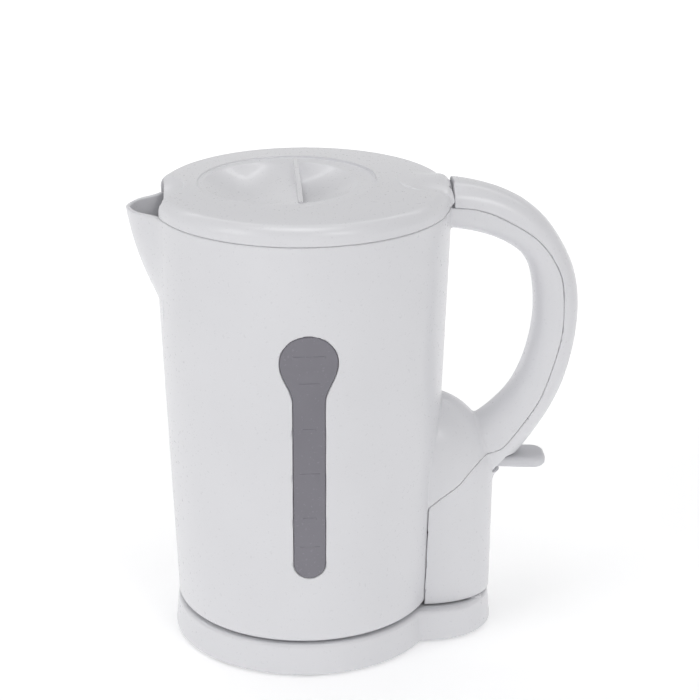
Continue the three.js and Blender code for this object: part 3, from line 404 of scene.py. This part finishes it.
def handle(x, y, z):
    """The loop of the handle, a rounded bar between its back line and its finger line."""
    back = -handle_back(x, z)
    finger = handle_finger(x, z)
    thick = np.maximum(back + finger, 8)
    half = HANDLE["half"] + 1.5 * smoothstep(95, 70, x)
    across = np.abs(finger - back) / thick
    a = across ** HANDLE["power"]
    b = (np.abs(y) / half) ** HANDLE["power"]
    scale = (a * thick / 2 + b * half + 0.012) / (a + b + 1e-3)
    bar = (np.maximum(a + b, 1e-6) ** (1 / HANDLE["power"]) - 1) * scale
    foot = (93.7 - x) * 0.683 + (56.5 - z) * 0.73
    low_end = np.where(z < 130, foot, -20)
    return np.maximum(np.maximum(bar, low_end), HANDLE["root"] - x)


def rear_outside(x, y, z):
    """The housing and the handle's loop together."""
    return merge(housing(x, y, z), handle(x, y, z), 1.6)


def lid_space(x, y, z):
    """The room over the rim that the lid turns in."""
    room = np.minimum(np.hypot(x, y) - RIM_R - 0.4, np.maximum(x - HINGE[0] - 5.7, np.abs(y) - 30))
    return np.maximum(room, SEAM - z)


def rear_shell(x, y, z):
    """The housing and handle together as a shell, before it is parted into jug and cover."""
    outside = rear_outside(x, y, z)
    hollow = np.minimum(housing(x, y, z), np.maximum(handle(x, y, z), 79 - x)) + THIN_WALL
    shell = cut(meet(outside, -z, 0.6), hollow, 0.5)
    return cut(shell, lid_space(x, y, z), 0.4)


def peg_space(x, y, z, radius, top):
    """A round bar up from the jug's underside, over the base's peg."""
    return np.maximum(np.hypot(x - PEG["x"], y - PEG["y"]) - radius, z - top)


def chamber(x, y, z):
    """The water space, with a flat rear wall up to the shelf and a boss over the peg."""
    space = meet(jug_outside(x, y, z) + WALL, WALL - z, 4)
    rear = np.minimum(x - REAR_WALL, SHELF - z)
    boss = peg_space(x, y, z, POCKET["radius"] + 2, POCKET["top"] + 2.3)
    return cut(meet(space, rear, 1.2), boss, 1)


WINDOW = {"half": 7.9, "foot": 44.8, "head": 14, "head_z": 152.5, "reach": 9, "gap": 0.12}
WINDOW_MARKS = [(156, 8), (142, 5), (118, 3.2), (94, 5), (70, 3.2), (54, 5)]  # (height, half width)
SCREW_BOSS = {"x": 60.5, "y": 22, "z": 12, "radius": 3.4}
ELEMENT_PORT = {"z": 46, "radius": 15.5}
LEVER_SLOT = {"x": (96, 130), "y": (-10.8, 10.8), "z": (60, 76.2), "floor": 67.4, "slope": 0.18}


def keyhole(x, z):
    """The water window's outline from the side: a strip with a round head."""
    strip = np.hypot(x, np.maximum(np.maximum(WINDOW["foot"] - z, z - WINDOW["head_z"]), 0)) - WINDOW["half"]
    head = np.hypot(x, z - WINDOW["head_z"]) - WINDOW["head"]
    return blend(strip, head, WINDOW["reach"])


def hinge_lugs(x, y, z):
    """The jug's two lugs, bored for the lid's pin."""
    across = np.hypot(x - HINGE[0], z - HINGE[1])
    post = np.minimum(across - LUG_R, np.maximum(np.abs(x - HINGE[0]) - LUG_R, z - HINGE[1]))
    lugs = meet(np.maximum(post, LUG_FOOT - z), np.abs(np.abs(y) - LUG_Y) - 2, 0.4)
    return cut(lugs, across - PIN_BORE_R, 0.2)


def rear_rim(x, y, z):
    """The rim behind the hinge, which fills the corner that the lid turns clear of."""
    reach = np.hypot(x - HINGE[0], z - HINGE[1])
    across = np.maximum(np.hypot(x, y) - RIM_R, HINGE[0] - x)
    clear = np.maximum(across, BARREL_ROOM + JOINT_GAP - reach)
    return np.maximum(clear, np.maximum(z - HINGE[1], LUG_FOOT - z))


def jug_body(x, y, z):
    """The jug with its spout, the inner half of the handle and the top of the housing."""
    outside = meet(meet(jug_outside(x, y, z), -z, 3.5), z - SEAM, 0.6)
    water = chamber(x, y, z)
    body = cut(outside, water, 0.6)
    if x.max() > JUG_REAR:
        dry = np.maximum(np.maximum(housing(x, y, z) + THIN_WALL, DRY_SIDE - x), -2 - z)
        body = cut(body, dry, 0.4)
        parted = meet(rear_shell(x, y, z), -parting(x, z), 0.35)
        parted = np.maximum(parted, np.maximum(DRY_SIDE - 1 - x, np.minimum(-water, 72 - x)))
        body = merge(np.minimum(body, rear_rim(x, y, z)), parted, 0.8)
        body = np.minimum(body, hinge_lugs(x, y, z))
    window = np.maximum(keyhole(x, z) - WINDOW["gap"], y + 40)
    body = cut(body, window, 0.45)
    body = cut(body, peg_space(x, y, z, POCKET["radius"], POCKET["top"]), 0.3)
    boss = np.hypot(np.abs(y) - SCREW_BOSS["y"], z - SCREW_BOSS["z"]) - SCREW_BOSS["radius"]
    body = np.minimum(body, np.maximum(boss, np.abs(x - SCREW_BOSS["x"]) - 5.5))
    port = np.hypot(y, z - ELEMENT_PORT["z"]) - ELEMENT_PORT["radius"]
    return cut(body, np.maximum(port, np.abs(x - DRY_SIDE + 1) - 4), 0.3)


def handle_cover(x, y, z):
    """The outer half of the handle with the lower half of the housing, and the lever's slot."""
    shell = meet(rear_shell(x, y, z), parting(x, z) + PARTING_GAP, 0.35)
    shell = cut(shell, cone(x, y, z) - JOINT_GAP, 0.3)
    shell = np.maximum(shell, DRY_SIDE - x)
    slot = box(x, y, z, LEVER_SLOT["x"], LEVER_SLOT["y"], LEVER_SLOT["z"], 0.8)
    floor = LEVER_SLOT["floor"] - LEVER_SLOT["slope"] * (x - LEVER_SLOT["x"][0])
    slot = meet(slot, floor - z, 0.8)  # the floor slopes as the pressed paddle does
    return cut(shell, slot, 0.4)


def water_window(x, y, z):
    """The pane in its opening, with its level marks raised on it."""
    skin = meet(cone(x, y, z) + WINDOW["gap"], -cone(x, y, z) - 2.3, 0.2)
    plate = meet(skin, keyhole(x, z), 0.7)
    plate = np.maximum(plate, y + 30)
    marks = np.full_like(x, 9.0)
    for height, half in WINDOW_MARKS:
        mark = np.maximum(np.abs(z - height) - 0.45, np.abs(x) - half)
        marks = np.minimum(marks, mark)
    raised = np.maximum(np.maximum(marks, cone(x, y, z)), -cone(x, y, z) - 1)
    return merge(plate, np.maximum(raised, y + 30), 0.15)


# ---- lid ----
GRIP = {"x": -11, "radius": 39.5, "depth": 11.5, "wall": -2.1, "ledge": LID_TOP + 1.9}
LEDGE = {"x": -7.6, "radius": 44.8}
SCOOP = {"centre": (-75, 0, 224), "radii": (15.8, 23, 11)}
HOOD = {"x": 74, "radius": 27, "half": 18, "start": 50, "knuckle": 5.4}
CUP = {"radius": 70.3, "floor": 203, "top": 217.3, "rib": 52}
STEAM_HOLES = {"x": 40, "y": (-30, -15, 0, 15, 30), "radius": 2.2}


def crown(x, y):
    """The height of the lid's domed top."""
    return LID_TOP + LID_CROWN * (1 - (x * x + y * y) / RIM_R**2)


def pour_scoop(x, y, z, extra=0.0):
    """The hollow over the spout that the lid leaves for pouring."""
    radii = [radius + extra for radius in SCOOP["radii"]]
    scaled = [(value - c) / r for value, c, r in zip((x, y, z), SCOOP["centre"], radii)]
    return (np.sqrt(scaled[0] ** 2 + scaled[1] ** 2 + scaled[2] ** 2) - 1) * min(radii)


def grip_bowl(x, y, z):
    """The bowl in the lid. Its floor sweeps up to the wall on the spout side."""
    across = np.hypot(x - GRIP["x"], y) / GRIP["radius"]
    ramp = np.where(x < GRIP["wall"], smoothstep(GRIP["wall"] - 32, GRIP["wall"], x), 0)
    floor = GRIP["ledge"] + 0.5 - GRIP["depth"] * (1 - np.clip(across, 0, 1.3) ** 2) * (1 - 0.75 * ramp)
    return meet((across - 1) * GRIP["radius"], floor - z, 2.0)


def grip_wall(x, y, z):
    """The upright wall across the bowl, just short of the lid's dome in height."""
    wall = meet(np.abs(x - GRIP["wall"]) - 1.2, z - crown(x, y) + 0.3, 0.5)
    return np.maximum(wall, grip_bowl(x, y, z) - 1)


def hood(x, y, z):
    """The raised tongue over the hinge, which carries the handle's line on to the lid."""
    fall = 0.010 * y * y * smoothstep(HOOD["start"], HANDLE["root"], x)
    rise = crown(x, 0) + 0.5 + 1.95 * smoothstep(HOOD["start"], HINGE[0], x) - fall
    knuckle = np.hypot(np.maximum(x - HINGE[0], 0), z - HINGE[1] + fall) - HOOD["knuckle"]
    skin = np.maximum(z - rise, knuckle - 3 * (x < HINGE[0]))
    plan = meet(np.hypot(x - HOOD["x"], y) - HOOD["radius"], np.abs(y) - HOOD["half"], 4)
    return np.maximum(meet(skin, plan, 0.5), SEAM + 1 - z)


def lug_room(x, y, z):
    """The room that the jug's lugs take in the lid, at rest and as it opens."""
    across = np.abs(np.abs(y) - LUG_Y) - 2.4
    reach = np.hypot(x - HINGE[0], z - HINGE[1])
    side = LUG_R + 0.4
    below = np.maximum(np.maximum(HINGE[0] - x - side, x - HINGE[0] - 7.5), z - HINGE[1])
    behind = np.maximum(HINGE[0] - x, z - HINGE[1] - side)
    return np.maximum(np.minimum(np.minimum(reach - side, below), behind), across)


def lid_cover(x, y, z):
    """The lid's top: skirt, dome, bowl with its ledge and wall, scoop, and hood over the hinge."""
    rho = np.hypot(x, y)
    outside = meet(rho - RIM_R, z - crown(x, y), 5.6)
    hollow = meet(rho - RIM_R + THIN_WALL, z - crown(x, y) + 2.6, 3.4)
    scoop = pour_scoop(x, y, z)
    bowl = grip_bowl(x, y, z)
    skirt = meet(cut(outside, hollow, 0.4), SEAM + 0.15 - z, 0.4)
    ring = meet(np.hypot(x - LEDGE["x"], y) - LEDGE["radius"], GRIP["ledge"] - z, 0.4)
    lining = np.maximum(outside, np.minimum(np.minimum(bowl, ring), scoop) - 2)
    lid = merge(skirt, lining, 0.3)
    lid = cut(cut(lid, ring, 0.35), bowl, 0.7)
    lid = merge(lid, grip_wall(x, y, z), 0.5)
    lid = cut(lid, scoop, 0.8)
    lid = merge(lid, hood(x, y, z), 0.5)
    lid = cut(lid, np.maximum(x + 69.6, np.abs(y) - 22.5), 0.8)
    lid = cut(lid, lug_room(x, y, z), 0.2)
    reach = np.hypot(x - HINGE[0], z - HINGE[1])
    behind = np.maximum(np.maximum(HINGE[0] - x, z - HINGE[1]), BARREL_ROOM - reach)
    lid = cut(lid, behind, 0.2)
    return cut(lid, np.maximum(reach - PIN_BORE_R, np.abs(y) - PIN_HALF), 0.1)


def lid_liner(x, y, z):
    """The steam cup under the lid, cut back for the hinge and the spout, with its steam holes."""
    rho = np.hypot(x, y)
    cup = meet(meet(rho - CUP["radius"], CUP["floor"] - z, 1.4), z - CUP["top"], 0.5)
    inside = np.maximum(np.maximum(rho - CUP["radius"] + 2, -67.2 - x), CUP["floor"] + 1.8 - z)
    cup = cut(cup, inside, 0.5)
    hinge = np.maximum(56 - x, np.abs(y) - 17)
    front = np.maximum(x + 68.8, np.abs(y) - 26)
    scoop = pour_scoop(x, y, z, WALL)
    ring = np.abs(rho - CUP["rib"]) - 0.9
    rib = np.maximum(np.maximum(ring, CUP["floor"] - 0.8 - z), z - CUP["floor"] - 1)
    cup = merge(cup, rib, 0.6)
    holes = np.full_like(x, 9.0)
    for place in STEAM_HOLES["y"]:
        holes = np.minimum(holes, np.hypot(x - STEAM_HOLES["x"], y - place) - STEAM_HOLES["radius"])
    cup = cut(cut(cut(cup, hinge, 0.4), front, 0.4), scoop, 0.4)
    return cut(cup, holes, 0.3)


# ---- base ----
BASE_R = 67.1
BASE_DRAFT = 1.5  # how much wider the outline is at its foot
BASE_SIDE = 16  # height over which it widens
LOBE = {"x": 60, "length": 37, "half": 34, "power": 2.2}
PADS = [(56, 43), (56, -43), (56, 90), (56, -90), (56, 143), (56, -143), (12, 3)]  # (radius, degrees)
PAD_R = 5.5
PLINTH = ((48, 92), (-19, 19), (-4, 0.7))  # limits in x, y and height from the base's top
RECESS = ((28, 47.5), (-17, 17), (-1.0, 6))
RECESS_STEP = ((31.5, 37), (-11.5, 11.5), (-1.9, 6))
OUTLET = {"z": 9.5, "radius": 5.1, "from": 60}
TOWER = {"x0": 59, "x1": 89, "half": 16, "step": 23.5, "step_x": 65.8, "top": 48.5, "round": 9}
TOWER_REAR = {"x": 89.2, "lean": 0.042}
POLES = (-7.4, 0, 7.4)
POLE_SLOT = {"half": 1.5, "x0": 63, "x1": 82.5, "floor": 26}


def base_plan(x, y, z):
    """The base's outline, a disc with a lobe for the connector, growing a little downwards."""
    draft = BASE_DRAFT * np.clip((BASE_TOP - z) / BASE_SIDE, 0, 1)
    disc = np.hypot(x, y) - BASE_R - draft
    a = (np.maximum(x - LOBE["x"], 0) / LOBE["length"]) ** LOBE["power"]
    b = (np.abs(y) / LOBE["half"]) ** LOBE["power"]
    lobe = (np.maximum(a + b, 1e-6) ** (1 / LOBE["power"]) - 1) * 35 - draft
    lobe = np.maximum(lobe, 40 - x)
    return merge(disc, lobe, 1.5)


def pads(x, y, up):
    """The round pads that the jug's underside rests on, with the height measured from the base's top."""
    found = np.full_like(x, 99.0)
    for radius, degrees in PADS:
        angle = math.radians(degrees)
        across = np.hypot(x - radius * math.cos(angle), y - radius * math.sin(angle))
        found = np.minimum(found, meet(across - PAD_R, up - PAD_RISE, 0.5))
    return found


def base_peg(x, y, up):
    """The square peg that goes up into the jug's pocket."""
    post = meet(np.abs(x - PEG["x"]) - PEG["half"], np.abs(y - PEG["y"]) - PEG["half"], 1.6)
    return meet(post, up - PEG["height"], 2.0)


def base_top(x, y, z):
    """The base's cover: pads, peg, plinth, stepped recess, and the holes for tower and cord."""
    plan = base_plan(x, y, z)
    up = z - BASE_TOP
    cover = meet(meet(plan, up, 1.7), 1.5 - z, 0.4)
    cover = merge(cover, np.maximum(pads(x, y, up), -3 - up), 0.5)
    cover = merge(cover, box(x, y, up, *PLINTH, 0.6), 0.5)
    cover = cut(cover, box(x, y, up, *RECESS, 0.4), 0.35)
    cover = cut(cover, box(x, y, up, *RECESS_STEP, 0.3), 0.3)
    cover = merge(cover, np.maximum(base_peg(x, y, up), -3 - up), 0.5)
    cover = cut(cover, meet(plan + THIN_WALL, up + 3, 1), 0.4)
    ends = (TOWER["x0"] - JOINT_GAP, TOWER["x1"] + JOINT_GAP)
    side = TOWER["half"] + JOINT_GAP
    cover = cut(cover, box(x, y, z, ends, (-side, side), (0, BASE_TOP + 5), 0.2), 0.3)
    outlet = np.maximum(np.hypot(x, z - OUTLET["z"]) - OUTLET["radius"], OUTLET["from"] - y)
    return cut(cover, outlet, 0.3)


def connector_tower(x, y, z):
    """The stepped tower with a slot for each pole. Its rear leans in a little."""
    up = z - BASE_TOP
    rear = (x - TOWER_REAR["x"] + TOWER_REAR["lean"] * (up - 1)) * 0.999
    shaft = meet(meet(TOWER["step_x"] - x, up - TOWER["top"], TOWER["round"]), rear, 1.4)
    step = meet(meet(TOWER["x0"] - x, up - TOWER["step"], 1.2), rear, 1.0)
    outline = merge(shaft, step, 0.5)
    body = meet(meet(outline, np.abs(y) - TOWER["half"], 1.3), -6 - up, 0.3)
    hollow = box(x, y, up, (TOWER["x0"] + 2.5, TOWER["x1"] - 4), (-13.5, 13.5), (-20, 18), 0.5)
    body = cut(body, hollow, 0.3)
    for pole in POLES:
        sides = np.maximum(np.abs(y - pole) - POLE_SLOT["half"], x - POLE_SLOT["x1"])
        slot = np.maximum(sides, np.maximum(POLE_SLOT["floor"] - up, POLE_SLOT["x0"] - x))
        passage = box(x, y, up, (71, 77), (pole - 0.8, pole + 0.8), (14, 30), 0.2)
        body = cut(cut(body, slot, 0.45), passage, 0.2)
    return body


LEVER = {"half": 10, "tip": 126, "corner": 7, "thick": 6, "edge": 2.4, "droop": 1.2, "hub": 3.4}


def switch_lever(x, y, z):
    """The paddle with its hub on the pivot and the tail that the spring holds."""
    mid = PIVOT[1] - LEVER["droop"] * smoothstep(92, 124, x) - 0.1
    plan = meet(np.abs(y) - LEVER["half"], x - LEVER["tip"], LEVER["corner"])
    paddle = meet(np.abs(z - mid) - LEVER["thick"] / 2, plan, LEVER["edge"])
    paddle = np.maximum(paddle, PIVOT[0] - 1 - x)
    reach = np.hypot(x - PIVOT[0], z - PIVOT[1])
    hub = meet(reach - LEVER["hub"], np.abs(y) - LEVER["half"], 0.4)
    tail = box(x, y, z, (82, 90), (-3, 3), (PIVOT[1] - 1.2, PIVOT[1] + 1.2), 0.3)
    lever = merge(merge(paddle, hub, 0.8), tail, 0.5)
    return cut(lever, reach - 1.35, 0.1)


# ---- materials ----
def new_material(name):
    """A fresh material, with its node tree and its shader."""
    material = bpy.data.materials.new(name)
    material.use_nodes = True
    return material, material.node_tree, material.node_tree.nodes["Principled BSDF"]


def noise(tree, scale, detail=3.0):
    """A cloudy value that stays with the object, with that many clouds to a metre."""
    place = tree.nodes.new("ShaderNodeTexCoord")
    node = tree.nodes.new("ShaderNodeTexNoise")
    node.inputs["Scale"].default_value = scale
    node.inputs["Detail"].default_value = detail
    tree.links.new(place.outputs["Object"], node.inputs["Vector"])
    return node.outputs["Fac"]


def spread(tree, source, low, high):
    """The noise's usual range, stretched to run from low to high."""
    node = tree.nodes.new("ShaderNodeMapRange")
    node.inputs["From Min"].default_value = 0.3
    node.inputs["From Max"].default_value = 0.7
    node.inputs["To Min"].default_value = low
    node.inputs["To Max"].default_value = high
    tree.links.new(source, node.inputs["Value"])
    return node.outputs["Result"]


def tint(tree, source, first, second):
    """The two colours mixed by the source."""
    node = tree.nodes.new("ShaderNodeMix")
    node.data_type = "RGBA"
    node.inputs["A"].default_value = (*first, 1)
    node.inputs["B"].default_value = (*second, 1)
    tree.links.new(source, node.inputs["Factor"])
    return node.outputs["Result"]


def bump(tree, source, strength, distance):
    node = tree.nodes.new("ShaderNodeBump")
    node.inputs["Strength"].default_value = strength
    node.inputs["Distance"].default_value = distance
    tree.links.new(source, node.inputs["Height"])
    return node.outputs["Normal"]


def moulded(name, first, second, rough, grain, relief, coat=0.0):
    """A moulded surface: a faint drift of colour, and a fine grain in its gloss and its relief."""
    material, tree, shader = new_material(name)
    drift = spread(tree, noise(tree, 14), 0, 1)
    tree.links.new(tint(tree, drift, first, second), shader.inputs["Base Color"])
    fine = noise(tree, grain, 2)
    tree.links.new(spread(tree, fine, *rough), shader.inputs["Roughness"])
    tree.links.new(bump(tree, fine, relief, 0.0001), shader.inputs["Normal"])
    shader.inputs["Coat Weight"].default_value = coat
    return material


def metal(name, first, second, rough, grain):
    """A plain metal: a cloudy colour, and a fine grain in its gloss and its relief."""
    material, tree, shader = new_material(name)
    fine = noise(tree, grain, 4)
    clouds = spread(tree, noise(tree, 60), 0, 1)
    tree.links.new(tint(tree, clouds, first, second), shader.inputs["Base Color"])
    tree.links.new(spread(tree, fine, *rough), shader.inputs["Roughness"])
    tree.links.new(bump(tree, fine, 0.15, 0.0001), shader.inputs["Normal"])
    shader.inputs["Metallic"].default_value = 1
    return material


SLOT_MATERIAL = {
    "white_plastic": moulded(
        "white_plastic", (0.79, 0.79, 0.815), (0.765, 0.765, 0.79), (0.27, 0.34), 700, 0.012, coat=0.15
    ),
    "window_plastic": moulded(
        "window_plastic", (0.222, 0.215, 0.245), (0.2, 0.194, 0.222), (0.2, 0.28), 700, 0.05
    ),
    "lever_plastic": moulded("lever_plastic", (0.7, 0.7, 0.73), (0.67, 0.67, 0.7), (0.3, 0.38), 900, 0.06),
    "black_plastic": moulded(
        "black_plastic", (0.03, 0.03, 0.032), (0.045, 0.045, 0.048), (0.45, 0.6), 1500, 0.25
    ),
    "filter_plastic": moulded("filter_plastic", (0.7, 0.7, 0.72), (0.66, 0.66, 0.68), (0.4, 0.5), 1200, 0.15),
    "rubber": moulded("rubber", (0.32, 0.32, 0.33), (0.28, 0.28, 0.29), (0.7, 0.85), 1800, 0.4),
    "silicone": moulded("silicone", (0.5, 0.14, 0.08), (0.44, 0.11, 0.07), (0.5, 0.65), 1200, 0.2),
    "brass": metal("brass", (0.72, 0.53, 0.25), (0.66, 0.47, 0.2), (0.25, 0.42), 900),
    "steel": metal("steel", (0.62, 0.62, 0.63), (0.55, 0.55, 0.56), (0.25, 0.4), 1200),
    "element_steel": metal("element_steel", (0.72, 0.72, 0.73), (0.62, 0.6, 0.58), (0.12, 0.28), 500),
}
for part in frame["record"]["subparts"]:
    node = frame["nodes"][part["node"]]
    node.data.materials.clear()
    node.data.materials.append(SLOT_MATERIAL[part["material_slot"]])

# ---- pieces ----
put(
    solid("jug_shell", jug_body, (-94, -79, -4), (140, 79, 228), 0.95, 0.27),
    "jug", "white_plastic", ["jug_body"], JUG_Z,
)
put(
    solid("handle_back", handle_cover, (52, -34, -4), (146, 34, 228), 0.7, 0.5),
    "jug", "white_plastic", ["handle_cover"], JUG_Z,
)
put(
    solid("window_pane", water_window, (-20, -79, 32), (20, -50, 172), 0.4, 0.5),
    "jug", "window_plastic", ["water_window"], JUG_Z,
)
put(
    solid("lid_shell", lid_cover, (-79, -79, 203), (79, 79, 228), 0.6, 0.4),
    "lid", "white_plastic", ["lid_cover"], JUG_Z,
)
put(
    solid("lid_cup", lid_liner, (-75, -75, 199), (75, 75, 221), 0.8, 0.4),
    "lid", "white_plastic", ["lid_liner"], JUG_Z,
)
put(
    solid("rocker", switch_lever, (78, -14, 64), (130, 14, 80), 0.4),
    "switch", "lever_plastic", ["switch_lever"], JUG_Z,
)
put(
    solid("base_cover", base_top, (-73, -73, -2), (102, 73, 30), 0.7, 0.5),
    "base", "white_plastic", ["base_top"],
)
put(
    solid("tower", connector_tower, (54, -20, 8), (93, 20, 70), 0.4, 0.7),
    "base", "white_plastic", ["connector_tower"],
)


# ---- stage, light and camera ----
def area_light(name, place, target, size, power):
    """A rectangular lamp at that place, in metres, aimed at the target."""
    data = bpy.data.lights.new(name, "AREA")
    data.shape = "RECTANGLE"
    data.size, data.size_y = size
    data.energy = power
    lamp = bpy.data.objects.new(name, data)
    lamp.location = place
    lamp.rotation_euler = (Vector(target) - Vector(place)).to_track_quat("-Z", "Y").to_euler()
    bpy.context.scene.collection.objects.link(lamp)


def white_tent():
    """A world that is bright at eye level and dimmer overhead."""
    world = bpy.data.worlds.new("studio")
    world.use_nodes = True
    tree = world.node_tree
    place = tree.nodes.new("ShaderNodeTexCoord")
    parts = tree.nodes.new("ShaderNodeSeparateXYZ")
    fade = tree.nodes.new("ShaderNodeMapRange")
    fade.interpolation_type = "SMOOTHSTEP"
    fade.inputs["From Min"].default_value = 0.1
    fade.inputs["From Max"].default_value = 0.55
    fade.inputs["To Min"].default_value = 0.74
    fade.inputs["To Max"].default_value = 0.25
    tree.links.new(place.outputs["Generated"], parts.inputs["Vector"])
    tree.links.new(parts.outputs["Z"], fade.inputs["Value"])
    background = tree.nodes["Background"]
    background.inputs["Color"].default_value = (1, 1, 1, 1)
    tree.links.new(fade.outputs["Result"], background.inputs["Strength"])
    return world


def stage():
    """A white floor, the world and the lamps."""
    floor_mesh = bpy.data.meshes.new("floor")
    half = 30
    corners = [(-half, -half, 0), (half, -half, 0), (half, half, 0), (-half, half, 0)]
    floor_mesh.from_pydata(corners, [], [(0, 1, 2, 3)])
    floor = bpy.data.objects.new("floor", floor_mesh)
    bpy.context.scene.collection.objects.link(floor)
    material, tree, shader = new_material("floor")
    cloth = tint(tree, noise(tree, 2), (0.93, 0.93, 0.935), (0.92, 0.92, 0.925))
    tree.links.new(cloth, shader.inputs["Base Color"])
    shader.inputs["Roughness"].default_value = 0.9
    shader.inputs["Emission Color"].default_value = (1, 1, 1, 1)
    shader.inputs["Emission Strength"].default_value = 0.3
    floor_mesh.materials.append(material)
    bpy.context.scene.world = white_tent()
    bpy.context.scene.view_settings.view_transform = "Standard"
    middle = (AXIS_X * MM, 0, 0.12)
    area_light("left", (-1.2, -0.8, 0.9), middle, (0.6, 0.8), 3.6)
    area_light("front", (0.7, -1.3, 1.3), middle, (0.6, 0.6), 4.4)
    area_light("top", (-0.1, -0.2, 1.7), middle, (0.8, 0.8), 6.5)
    area_light("backdrop", (0, 1.6, 2.2), (0, 3.4, 0), (5.0, 1.0), 70)


def camera():
    """The view of the photo, from a little over a metre away."""
    data = bpy.data.cameras.new("camera")
    data.lens = 113.14
    data.sensor_width = 36
    data.shift_y = -0.0628
    data.clip_end = 100
    cam = bpy.data.objects.new("camera", data)
    cam.location = ((AXIS_X - 37.1) * MM, -1057.7 * MM, 545.9 * MM)
    cam.rotation_euler = (math.radians(70.71), 0, math.radians(-3.3))
    bpy.context.scene.collection.objects.link(cam)
    bpy.context.scene.camera = cam


stage()
camera()
